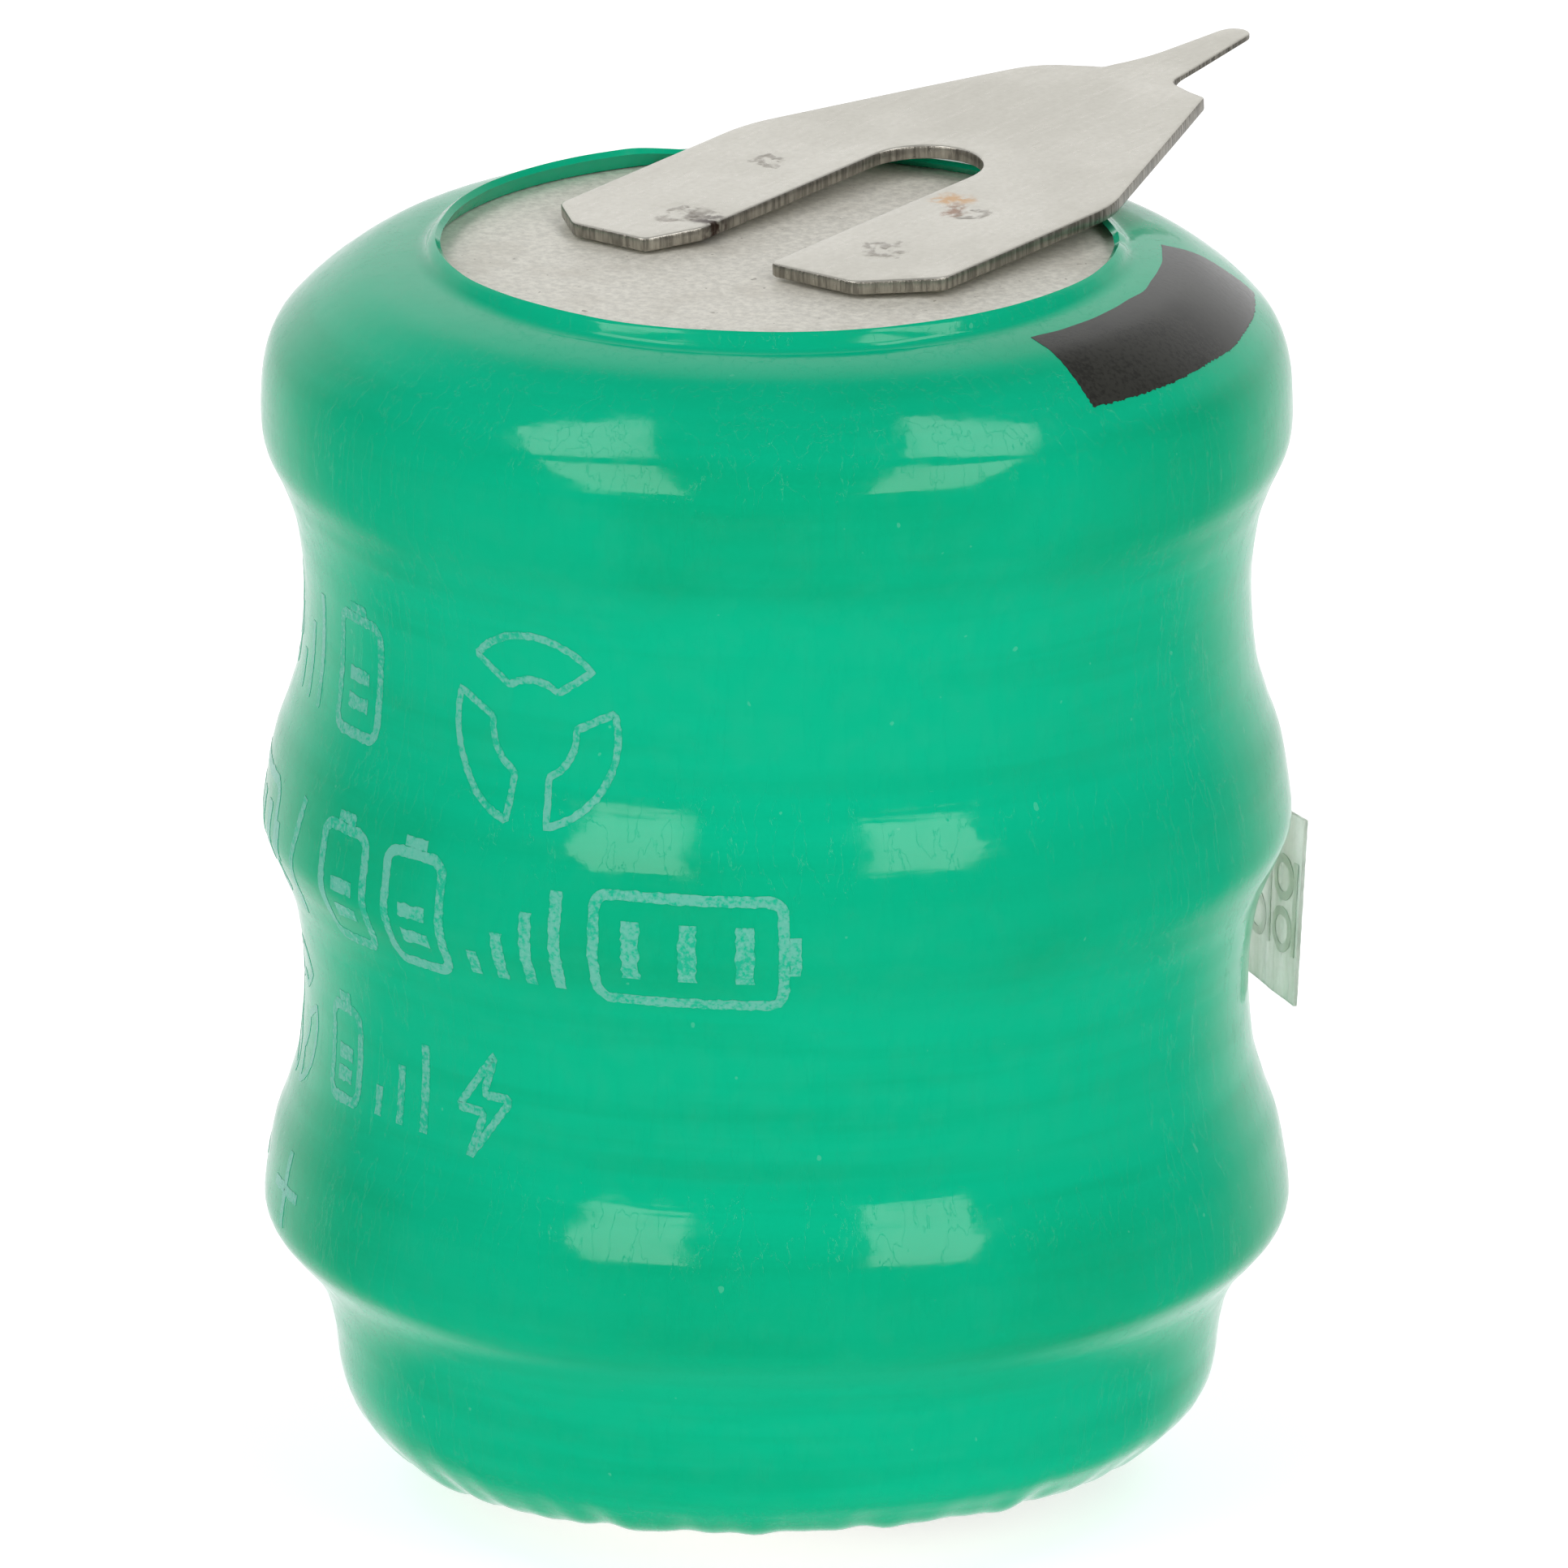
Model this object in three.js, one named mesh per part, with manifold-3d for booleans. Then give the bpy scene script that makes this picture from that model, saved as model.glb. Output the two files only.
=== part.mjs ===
// Stack of three nickel-metal-hydride button cells in one shrink sleeve, with a solder tag
// welded to each end. Millimetres, +Z up. The origin is on the stack's axis at mid-height,
// +Z points to the positive end and +Y is the way the solder tags point.

import * as THREE from 'three';
import { mergeVertices } from 'three/addons/utils/BufferGeometryUtils.js';
import Module from 'manifold-3d';

const wasm = await Module();
wasm.setup();

// ---- driving dimensions ----

// button cell
const CELL_COUNT = 3;
const CELL_HEIGHT = 6.05;
const CAN_RADIUS = 7.75;
const CAN_WALL = 0.3;
const CORNER_WIDTH = 2.25;
const CORNER_DEPTH = 2.1;
const CRIMP_START = 2.55;
const CRIMP_BEND_RADIUS = 7.58;
const CRIMP_BEND_DEPTH = 2.9;
const CRIMP_END_RADIUS = 6.98;
const CRIMP_END_DEPTH = 3.55;
const LID_RADIUS = 6.6;
const LID_WALL = 0.25;
const LID_SKIRT_RADIUS = 7.02;
const LID_SKIRT_TOP = 1.35;
const LID_CORNER = 1.2;
const LID_STEP_TOP = 2.83;
const LID_STEP_BOTTOM = 3.25;
const FIT_GAP = 0.02;

// stack
const LINK_THICKNESS = 0.2;
const LINK_LENGTH = 9;
const LINK_WIDTH = 4;
const PITCH = CELL_HEIGHT + LINK_THICKNESS;
const STACK_HEIGHT = CELL_COUNT * CELL_HEIGHT + (CELL_COUNT - 1) * LINK_THICKNESS;
const STACK_TOP = STACK_HEIGHT / 2;

// sleeve
const SLEEVE_RADIUS = 7.94;
const SLEEVE_WALL = 0.15;
const SLEEVE_FILM = 0.2;
const SLEEVE_GAP = 0.04;
const TOP_OPENING = 5.24;
const BOTTOM_OPENING = 5.1;
const LIP_WIDTH = 0.2;
const LIP_HEIGHT = 0.24;
const BOTTOM_LIP_HEIGHT = 0.33;

// solder tags
const TAG_THICKNESS = 0.22;
const TAG_CENTRE = -0.2;
const TAG_HALF_WIDTH = 3.62;
const LONG_LEG_END = -1.5;
const SHORT_LEG_END = -1.1;
const LEG_CHAMFER_X = 1.05;
const LEG_CHAMFER_Y = 0.95;
const LEG_INNER_CHAMFER = 0.2;
const SLOT_CENTRE = -0.25;
const SLOT_RADIUS = 0.95;
const SLOT_END_CENTRE = 3.92;
const TAPER_START = 4.0;
const SHOULDER_HALF_WIDTH = 1.5;
const PIN_ROOT_LENGTH = 0.37;
const PIN_ROOT_HALF_WIDTH = 0.57;
const PIN_TIP_HALF_WIDTH = 0.4;
const WELD_RADIUS = 0.35;
const WELDS = [[-2.5, 2.6], [-1.85, 0.1], [1.5, 2.7], [1.8, 0.3]];
const POSITIVE_TAG = { shoulder: 9.0, end: 11.95, tilt: THREE.MathUtils.degToRad(2.75) };
const NEGATIVE_TAG = { shoulder: 7.6, end: 10.0, tilt: THREE.MathUtils.degToRad(4.4) };

// label
const LABEL_RADIUS = 7.84;
const LABEL_THICKNESS = 0.1;
const LABEL_TOP = 9.3;
const LABEL_HEIGHT = 2.9;
const LABEL_LEAVES_AT = THREE.MathUtils.degToRad(61.5);
const LABEL_WRAP = THREE.MathUtils.degToRad(42);
const LABEL_FLAP = 2.3;

const CELL_SEGMENTS = 20;
const SLEEVE_SEGMENTS = 32;

// ---- materials ----

const NICKEL = { color: 0xcdcbc1, roughness: 0.32, metalness: 1 };
const FINISHES = {
  can: NICKEL,
  lid: NICKEL,
  gasket: { color: 0x2b2c2e, roughness: 0.6, metalness: 0 },
  gauze: { color: 0x9a9b98, roughness: 0.55, metalness: 1 },
  positive: { color: 0x3d4a41, roughness: 0.9, metalness: 0 },
  negative: { color: 0x3b3c40, roughness: 0.85, metalness: 0.2 },
  separator: { color: 0xe8e6dc, roughness: 0.95, metalness: 0 },
  spring: { color: 0xb9bab6, roughness: 0.4, metalness: 1 },
  link: { color: 0xc3c2ba, roughness: 0.4, metalness: 1 },
  tag: { color: 0xd2cfc6, roughness: 0.28, metalness: 1 },
  sleeve: { color: 0x02b886, roughness: 0.22, metalness: 0 },
  label: { color: 0xc9d6c2, roughness: 0.5, metalness: 0 },
};

const stack = new THREE.Group();

function add(name, geometry, finish, height = 0) {
  const mesh = new THREE.Mesh(geometry, new THREE.MeshStandardMaterial(FINISHES[finish]));
  mesh.name = name;
  mesh.position.z = height;
  stack.add(mesh);
  return mesh;
}

// ---- helpers ----

// Turns an outline of (radius, depth below the local top) about the stack's axis.
function turned(outline, segments = CELL_SEGMENTS) {
  const points = outline.map(([radius, depth]) => new THREE.Vector2(radius, -depth));
  if (THREE.ShapeUtils.area(points) < 0) {
    points.reverse();
  }
  return new THREE.LatheGeometry(points, segments).rotateX(Math.PI / 2);
}

// A ring's outline ends where it starts.
function ring(outline, segments = CELL_SEGMENTS) {
  return turned([...outline, outline[0]], segments);
}

// Quarter ellipse from straight up, angle 0, to straight out, angle 90 degrees.
function quarter(centreRadius, centreDepth, width, rise, steps) {
  return Array.from({ length: steps + 1 }, (_, i) => {
    const angle = (i / steps) * (Math.PI / 2);
    return [centreRadius + width * Math.sin(angle), centreDepth - rise * Math.cos(angle)];
  });
}

function solid(geometry) {
  const bare = geometry.clone();
  bare.deleteAttribute('normal');
  bare.deleteAttribute('uv');
  const merged = mergeVertices(bare);
  const vertProperties = new Float32Array(merged.attributes.position.array);
  const triVerts = new Uint32Array(merged.index.array);
  return new wasm.Manifold(new wasm.Mesh({ numProp: 3, vertProperties, triVerts }));
}

function geometryOf(manifold) {
  const mesh = manifold.getMesh();
  const geometry = new THREE.BufferGeometry();
  geometry.setAttribute('position', new THREE.BufferAttribute(mesh.vertProperties, 3));
  geometry.setIndex(new THREE.BufferAttribute(mesh.triVerts, 1));
  geometry.computeVertexNormals();
  return geometry;
}

// ---- cell housing ----

// Drawn cup, open downwards: flat base, rounded corner, wall and crimped rim.
function canGeometry() {
  const shoulder = CAN_RADIUS - CORNER_WIDTH;
  const crimpInset = 0.21;
  return turned([
    [0, 0],
    [TOP_OPENING - LIP_WIDTH, 0],
    ...quarter(shoulder, CORNER_DEPTH, CORNER_WIDTH, CORNER_DEPTH, 4),
    [CAN_RADIUS, CRIMP_START],
    [CRIMP_BEND_RADIUS, CRIMP_BEND_DEPTH],
    [CRIMP_END_RADIUS, CRIMP_END_DEPTH],
    [CRIMP_END_RADIUS - crimpInset, CRIMP_END_DEPTH - crimpInset],
    [CRIMP_BEND_RADIUS - crimpInset, CRIMP_BEND_DEPTH - 0.15],
    [CAN_RADIUS - CAN_WALL, CRIMP_START - 0.05],
    ...quarter(shoulder, CORNER_DEPTH, CORNER_WIDTH - CAN_WALL, CORNER_DEPTH - CAN_WALL, 3).reverse(),
    [0, CAN_WALL],
  ]);
}

// Cap that closes the cup: flat face, rounded corner, and a skirt stepped out under the crimp.
function lidGeometry() {
  const cornerRadius = LID_RADIUS - LID_CORNER;
  const cornerDepth = CELL_HEIGHT - LID_CORNER;
  const mirrored = (size, steps) =>
    quarter(cornerRadius, cornerDepth, size, -size, steps);
  return turned([
    [0, CELL_HEIGHT],
    [BOTTOM_OPENING - LIP_WIDTH, CELL_HEIGHT],
    ...mirrored(LID_CORNER, 3),
    [LID_RADIUS, LID_STEP_BOTTOM],
    [LID_SKIRT_RADIUS, LID_STEP_TOP],
    [LID_SKIRT_RADIUS, LID_SKIRT_TOP],
    [LID_SKIRT_RADIUS - LID_WALL, LID_SKIRT_TOP],
    [LID_SKIRT_RADIUS - LID_WALL, LID_STEP_TOP - 0.11],
    [LID_RADIUS - LID_WALL, LID_STEP_BOTTOM - 0.11],
    ...mirrored(LID_CORNER - LID_WALL, 2).reverse(),
    [0, CELL_HEIGHT - LID_WALL],
  ]);
}

// Moulded seal between the two, hooked under the lid's skirt and squeezed by the crimp.
function gasketGeometry() {
  const outer = CAN_RADIUS - CAN_WALL - FIT_GAP;
  const mouth = CRIMP_END_RADIUS - 0.24;
  const neck = LID_RADIUS + FIT_GAP;
  const skirt = LID_SKIRT_RADIUS + FIT_GAP;
  return ring([
    [6.7, 1.15],
    [7.08, 1.15],
    [outer - 0.07, 1.9],
    [outer, CRIMP_START - 0.05],
    [CRIMP_BEND_RADIUS - 0.24, CRIMP_BEND_DEPTH - 0.16],
    [mouth, CRIMP_END_DEPTH - FIT_GAP - 0.19],
    [mouth, CRIMP_END_DEPTH + 0.17],
    [neck, CRIMP_END_DEPTH + 0.17],
    [neck, LID_STEP_BOTTOM + FIT_GAP],
    [skirt, LID_STEP_TOP + FIT_GAP],
    [skirt, LID_SKIRT_TOP - FIT_GAP],
    [6.7, LID_SKIRT_TOP - FIT_GAP],
  ]);
}

// ---- cell contents, from the positive base down to the lid ----

const POSITIVE_PELLET = { radius: 6.2, top: 0.42, bottom: 2.4, chamfer: 0.42 };
const NEGATIVE_PELLET = { radius: 6.2, top: 2.72, bottom: 4.77, chamfer: 0.17 };
const SEPARATOR = { radius: 6.6, top: 2.42, bottom: 2.7 };
const GAUZE_THICKNESS = 0.07;
const SPRING = { inner: 1, outer: 5.1, top: 4.92, bottom: 5.76, thickness: 0.14 };

function positivePelletGeometry() {
  const { radius, top, bottom, chamfer } = POSITIVE_PELLET;
  return turned([[0, top], [radius - 2 * chamfer, top], [radius, top + chamfer], [radius, bottom], [0, bottom]]);
}

// Nickel gauze basket that wraps the positive pellet and touches the can's base.
function positiveGauzeGeometry() {
  const { radius, top, bottom, chamfer } = POSITIVE_PELLET;
  const inner = FIT_GAP;
  const outer = FIT_GAP + GAUZE_THICKNESS;
  const flat = radius - 2 * chamfer;
  return turned([
    [0, top - outer],
    [flat, top - outer],
    [radius + outer, top + chamfer - outer / 2],
    [radius + outer, bottom - 0.4],
    [radius + inner, bottom - 0.4],
    [radius + inner, top + chamfer - inner / 2],
    [flat, top - inner],
    [0, top - inner],
  ]);
}

function separatorGeometry() {
  const { radius, top, bottom } = SEPARATOR;
  return turned([[0, top], [radius, top], [radius, bottom], [0, bottom]]);
}

function negativePelletGeometry() {
  const { radius, top, bottom, chamfer } = NEGATIVE_PELLET;
  return turned([[0, top], [radius, top], [radius, bottom - chamfer], [radius - chamfer, bottom], [0, bottom]]);
}

// Nickel gauze basket under the negative pellet, open upwards.
function negativeGauzeGeometry() {
  const { radius, top, bottom, chamfer } = NEGATIVE_PELLET;
  const inner = FIT_GAP;
  const outer = FIT_GAP + GAUZE_THICKNESS;
  return turned([
    [0, bottom + outer],
    [radius - chamfer, bottom + outer],
    [radius + outer, bottom - chamfer],
    [radius + outer, top + 0.6],
    [radius + inner, top + 0.6],
    [radius + inner, bottom - chamfer],
    [radius - chamfer, bottom + inner],
    [0, bottom + inner],
  ]);
}

// Dished contact spring that presses the electrodes together against the lid.
function springGeometry() {
  const { inner, outer, top, bottom, thickness } = SPRING;
  return ring([[inner, top], [outer, bottom - thickness], [outer, bottom], [inner, top + thickness]]);
}

// Flat nickel strip with round ends, welded between a lid and the next can.
function linkGeometry() {
  const straight = (LINK_LENGTH - LINK_WIDTH) / 2;
  const outline = new THREE.Shape();
  outline.absarc(straight, 0, LINK_WIDTH / 2, -Math.PI / 2, Math.PI / 2);
  outline.absarc(-straight, 0, LINK_WIDTH / 2, Math.PI / 2, (3 * Math.PI) / 2);
  const depth = LINK_THICKNESS;
  return new THREE.ExtrudeGeometry(outline, { depth, bevelEnabled: false, curveSegments: 6 });
}

// ---- solder tag ----

// Fork of two welded legs, a tapering blade and one narrow pin; +Y is towards the pin.
function tagOutline({ shoulder, end }) {
  const left = TAG_CENTRE - TAG_HALF_WIDTH;
  const right = TAG_CENTRE + TAG_HALF_WIDTH;
  const slotLeft = SLOT_CENTRE - SLOT_RADIUS;
  const slotRight = SLOT_CENTRE + SLOT_RADIUS;
  const tipCentre = end - PIN_TIP_HALF_WIDTH;
  const outline = new THREE.Shape();
  outline.moveTo(left + LEG_CHAMFER_X, LONG_LEG_END);
  outline.lineTo(slotLeft - LEG_INNER_CHAMFER, LONG_LEG_END);
  outline.lineTo(slotLeft, LONG_LEG_END + LEG_INNER_CHAMFER);
  outline.lineTo(slotLeft, SLOT_END_CENTRE);
  outline.absarc(SLOT_CENTRE, SLOT_END_CENTRE, SLOT_RADIUS, Math.PI, 0, true);
  outline.lineTo(slotRight, SHORT_LEG_END);
  outline.lineTo(right - LEG_CHAMFER_X, SHORT_LEG_END);
  outline.lineTo(right, SHORT_LEG_END + LEG_CHAMFER_Y);
  outline.lineTo(right, TAPER_START);
  outline.lineTo(TAG_CENTRE + SHOULDER_HALF_WIDTH, shoulder);
  outline.lineTo(TAG_CENTRE + PIN_ROOT_HALF_WIDTH, shoulder + PIN_ROOT_LENGTH);
  outline.absarc(TAG_CENTRE, tipCentre, PIN_TIP_HALF_WIDTH, 0, Math.PI, false);
  outline.lineTo(TAG_CENTRE - PIN_ROOT_HALF_WIDTH, shoulder + PIN_ROOT_LENGTH);
  outline.lineTo(TAG_CENTRE - SHOULDER_HALF_WIDTH, shoulder);
  outline.lineTo(left, TAPER_START);
  outline.lineTo(left, LONG_LEG_END + LEG_CHAMFER_Y);
  outline.closePath();
  return outline;
}

// The plate rises from the ends of its legs to clear the sleeve's lip, and stands on weld nuggets.
function tagGeometry(blade) {
  const plate = new THREE.ExtrudeGeometry(tagOutline(blade), {
    depth: TAG_THICKNESS,
    bevelEnabled: false,
    curveSegments: 6,
  });
  plate.translate(0, -LONG_LEG_END, 0).rotateX(blade.tilt).translate(0, LONG_LEG_END, 0);
  return geometryOf(
    WELDS.reduce((tag, [x, y]) => {
      const height = (y - LONG_LEG_END) * Math.tan(blade.tilt) + TAG_THICKNESS / 2;
      const nugget = new THREE.CylinderGeometry(WELD_RADIUS, WELD_RADIUS, height, 8);
      return tag.add(solid(nugget.rotateX(Math.PI / 2).translate(x, y, height / 2)));
    }, solid(plate)),
  );
}

// ---- sleeve ----

// One waist between two cells, from bulge to bulge, as (radius, depth below the upper cell's top).
function waist() {
  const curve = new THREE.SplineCurve([
    new THREE.Vector2(SLEEVE_RADIUS, 2.45),
    new THREE.Vector2(7.86, 2.95),
    new THREE.Vector2(7.54, 3.7),
    new THREE.Vector2(7.3, 5.15),
    new THREE.Vector2(7.36, 6.1),
    new THREE.Vector2(7.56, 7.0),
    new THREE.Vector2(7.8, 7.65),
    new THREE.Vector2(SLEEVE_RADIUS, 8.5),
  ]);
  return curve.getPoints(8).map((point) => [point.x, point.y]);
}

const lower = (outline, depth) => outline.map(([radius, below]) => [radius, below + depth]);

function sleeveGeometry() {
  const shoulder = CAN_RADIUS - CORNER_WIDTH;
  const lastTop = (CELL_COUNT - 1) * PITCH;
  const lidCentre = CELL_HEIGHT - LID_CORNER;
  const lidInset = LID_RADIUS - LID_CORNER;
  const film = SLEEVE_GAP + SLEEVE_WALL;
  const waists = Array.from({ length: CELL_COUNT - 1 }, (_, i) => lower(waist(), i * PITCH));
  const outside = [
    [TOP_OPENING, -LIP_HEIGHT],
    [TOP_OPENING + LIP_WIDTH, -LIP_HEIGHT],
    ...quarter(shoulder, CORNER_DEPTH, CORNER_WIDTH + film, CORNER_DEPTH + SLEEVE_FILM, 4).slice(1),
    ...waists.flat(),
    ...lower(
      [
        [SLEEVE_RADIUS, 2.45],
        [7.88, 2.76],
        [7.72, 2.99],
        [7.33, 3.43],
        [7.01, 3.96],
        [6.87, 4.4],
        ...quarter(lidInset, lidCentre, LID_CORNER + SLEEVE_FILM, -(LID_CORNER + SLEEVE_FILM), 4)
          .slice(1)
          .reverse(),
        [BOTTOM_OPENING + 2 * LIP_WIDTH, CELL_HEIGHT + BOTTOM_LIP_HEIGHT],
        [BOTTOM_OPENING, CELL_HEIGHT + BOTTOM_LIP_HEIGHT],
      ],
      lastTop,
    ),
  ];
  const inside = [
    [TOP_OPENING, -SLEEVE_GAP],
    ...quarter(shoulder, CORNER_DEPTH, CORNER_WIDTH + SLEEVE_GAP, CORNER_DEPTH + SLEEVE_GAP, 4),
    ...waists.flatMap((points) => points.map(([radius, depth]) => [radius - SLEEVE_WALL, depth])),
    ...lower(
      [
        [CAN_RADIUS + SLEEVE_GAP, CRIMP_START],
        [CRIMP_BEND_RADIUS + SLEEVE_GAP, CRIMP_BEND_DEPTH + SLEEVE_GAP],
        [CRIMP_END_RADIUS + SLEEVE_GAP, CRIMP_END_DEPTH + SLEEVE_GAP],
        [LID_RADIUS + 4 * SLEEVE_GAP, CRIMP_END_DEPTH + 0.32],
        [LID_RADIUS + SLEEVE_GAP, 4.2],
        ...quarter(lidInset, lidCentre, LID_CORNER + SLEEVE_GAP, -(LID_CORNER + SLEEVE_GAP), 3).reverse(),
        [BOTTOM_OPENING, CELL_HEIGHT + SLEEVE_GAP],
      ],
      lastTop,
    ),
  ];
  return ring([...outside, ...inside.reverse()], SLEEVE_SEGMENTS);
}

// ---- label ----

// Thin strip bent round the lower waist, with one end lifted off along its tangent.
function labelGeometry() {
  const inner = LABEL_RADIUS;
  const outer = LABEL_RADIUS + LABEL_THICKNESS;
  const end = LABEL_LEAVES_AT + LABEL_WRAP;
  const radial = new THREE.Vector2(Math.cos(LABEL_LEAVES_AT), Math.sin(LABEL_LEAVES_AT));
  const tangent = new THREE.Vector2(radial.y, -radial.x);
  const flapEnd = (radius) =>
    radial.clone().multiplyScalar(radius).addScaledVector(tangent, LABEL_FLAP);
  const outline = new THREE.Shape();
  outline.moveTo(flapEnd(outer).x, flapEnd(outer).y);
  outline.absarc(0, 0, outer, LABEL_LEAVES_AT, end, false);
  outline.absarc(0, 0, inner, end, LABEL_LEAVES_AT, true);
  outline.lineTo(flapEnd(inner).x, flapEnd(inner).y);
  outline.closePath();
  return new THREE.ExtrudeGeometry(outline, {
    depth: LABEL_HEIGHT,
    bevelEnabled: false,
    curveSegments: 8,
  });
}

// ---- assembly ----

const CELL_PIECES = [
  ['can', canGeometry, 'can'],
  ['positive_gauze', positiveGauzeGeometry, 'gauze'],
  ['positive_pellet', positivePelletGeometry, 'positive'],
  ['separator', separatorGeometry, 'separator'],
  ['negative_pellet', negativePelletGeometry, 'negative'],
  ['negative_gauze', negativeGauzeGeometry, 'gauze'],
  ['contact_spring', springGeometry, 'spring'],
  ['gasket', gasketGeometry, 'gasket'],
  ['lid', lidGeometry, 'lid'],
];

for (let cell = 0; cell < CELL_COUNT; cell += 1) {
  const top = STACK_TOP - cell * PITCH;
  for (const [piece, geometry, finish] of CELL_PIECES) {
    add(`cell_${cell + 1}_${piece}`, geometry(), finish, top);
  }
}

add('cell_link_upper', linkGeometry(), 'link', STACK_TOP - PITCH);
add('cell_link_lower', linkGeometry(), 'link', STACK_TOP - 2 * PITCH);
add('sleeve', sleeveGeometry(), 'sleeve', STACK_TOP);
add('label', labelGeometry(), 'label', STACK_TOP - LABEL_TOP - LABEL_HEIGHT);
add('positive_tag', tagGeometry(POSITIVE_TAG), 'tag', STACK_TOP);

// The lower tag is a shorter fork of the same kind, turned over about +Y.
const negativeTag = add('negative_tag', tagGeometry(NEGATIVE_TAG), 'tag', -STACK_TOP);
negativeTag.rotation.y = Math.PI;

export default stack;
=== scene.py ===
"""Looks for the three-cell button battery pack: shrink sleeve, nickel cells, solder tags and label.

The shape functions work in millimetres in the part's own frame, and to_mesh() turns them into metres.
"""

import math

import bmesh
import bpy
import numpy as np
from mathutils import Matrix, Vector
from mathutils.geometry import delaunay_2d_cdt


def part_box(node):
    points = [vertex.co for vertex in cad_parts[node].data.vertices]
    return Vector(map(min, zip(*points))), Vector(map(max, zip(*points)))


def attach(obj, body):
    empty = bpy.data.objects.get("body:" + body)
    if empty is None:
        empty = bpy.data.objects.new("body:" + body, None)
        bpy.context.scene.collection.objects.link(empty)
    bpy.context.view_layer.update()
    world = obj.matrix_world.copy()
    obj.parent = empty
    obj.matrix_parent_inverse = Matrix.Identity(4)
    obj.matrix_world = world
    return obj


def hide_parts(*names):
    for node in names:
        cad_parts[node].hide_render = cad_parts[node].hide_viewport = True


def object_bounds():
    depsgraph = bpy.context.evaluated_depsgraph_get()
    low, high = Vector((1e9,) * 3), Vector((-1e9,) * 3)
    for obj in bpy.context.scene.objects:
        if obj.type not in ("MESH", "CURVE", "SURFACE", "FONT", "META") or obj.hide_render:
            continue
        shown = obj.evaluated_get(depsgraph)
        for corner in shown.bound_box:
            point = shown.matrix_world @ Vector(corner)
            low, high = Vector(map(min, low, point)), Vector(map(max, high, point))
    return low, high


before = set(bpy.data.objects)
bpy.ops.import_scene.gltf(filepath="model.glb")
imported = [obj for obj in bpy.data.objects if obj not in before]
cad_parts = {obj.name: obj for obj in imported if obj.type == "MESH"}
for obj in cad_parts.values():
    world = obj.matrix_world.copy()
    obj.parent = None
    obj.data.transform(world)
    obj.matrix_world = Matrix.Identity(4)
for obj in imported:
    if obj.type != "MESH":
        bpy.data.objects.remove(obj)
cad_low, cad_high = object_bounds()

MM = 0.001
CELLS = (1, 2, 3)


def box_mm(node):
    """Lowest and highest corner of a CAD node, in millimetres."""
    low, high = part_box(node)
    return np.array(low) / MM, np.array(high) / MM


# ---- sizes taken from the frame ----

CELL_TOPS = [box_mm(f"cell_{i}_can")[1][2] for i in CELLS]
CELL_HEIGHT = CELL_TOPS[0] - box_mm("cell_1_lid")[0][2]
STACK_TOP = CELL_TOPS[0]
STACK_BOTTOM = box_mm("cell_3_lid")[0][2]
CAN_RADIUS = box_mm("cell_1_can")[1][0]
SLEEVE_RADIUS = box_mm("sleeve")[1][1]

# ---- the view ----

VIEW_AZIMUTH = math.radians(38.5)
CAMERA_DISTANCE = 575.0
CAMERA_HEIGHT = 170.0
CAMERA_PITCH = math.radians(17.245)
CAMERA_ASIDE = 0.106
LENS = 895.5
TOWARDS_CAMERA = np.array([math.sin(VIEW_AZIMUTH), -math.cos(VIEW_AZIMUTH), 0.0])
IMAGE_RIGHT = np.array([math.cos(VIEW_AZIMUTH), math.sin(VIEW_AZIMUTH), 0.0])


def catmull(points, steps):
    """Smooth curve through the points, with that many steps between each two."""
    points = np.asarray(points, float)
    padded = np.vstack([2 * points[0] - points[1], points, 2 * points[-1] - points[-2]])
    found = []
    for a, b, c, d in zip(padded, padded[1:], padded[2:], padded[3:]):
        for t in np.arange(steps) / steps:
            square = 2 * a - 5 * b + 4 * c - d
            cube = 3 * b - a - 3 * c + d
            found.append(0.5 * (2 * b + (c - a) * t + square * t**2 + cube * t**3))
    found.append(points[-1])
    return np.array(found)


def arc(centre, radius, start, end, steps):
    """Points on an arc in degrees. The radius is one number, or one across and one up."""
    across, up = np.broadcast_to(radius, 2)
    angles = np.radians(np.linspace(start, end, steps + 1))
    return [(centre[0] + across * math.cos(a), centre[1] + up * math.sin(a)) for a in angles]


def left_of(path, closed=False):
    """Unit vectors to the left of the way the path runs, at each point."""
    if closed:
        ahead = np.roll(path, -1, axis=0) - np.roll(path, 1, axis=0)
    else:
        ahead = np.gradient(path, axis=0)
    ahead /= np.linalg.norm(ahead, axis=1)[:, None]
    return np.column_stack([-ahead[:, 1], ahead[:, 0]])


# ---- meshes ----


def added(name, data):
    """A new object in the scene."""
    item = bpy.data.objects.new(name, data)
    bpy.context.scene.collection.objects.link(item)
    return item


def to_mesh(name, points, faces, crease=35):
    """Object from points in millimetres, smooth except at corners of more degrees than the crease."""
    mesh = bpy.data.meshes.new(name)
    mesh.from_pydata([tuple(p * MM) for p in np.asarray(points, float)], [], faces)
    mesh.validate()
    mesh.shade_smooth()
    piece = added(name, mesh)
    face_out(piece)
    sharpen(piece, crease)
    return piece


def grid_faces(rows, columns, wrap_rows):
    """Quads of a grid that closes on itself along its columns, and along its rows if asked."""
    faces = []
    for i in range(rows if wrap_rows else rows - 1):
        here, below = i * columns, (i + 1) % rows * columns
        for j in range(columns):
            right = (j + 1) % columns
            faces.append((here + j, here + right, below + right, below + j))
    return faces


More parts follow.
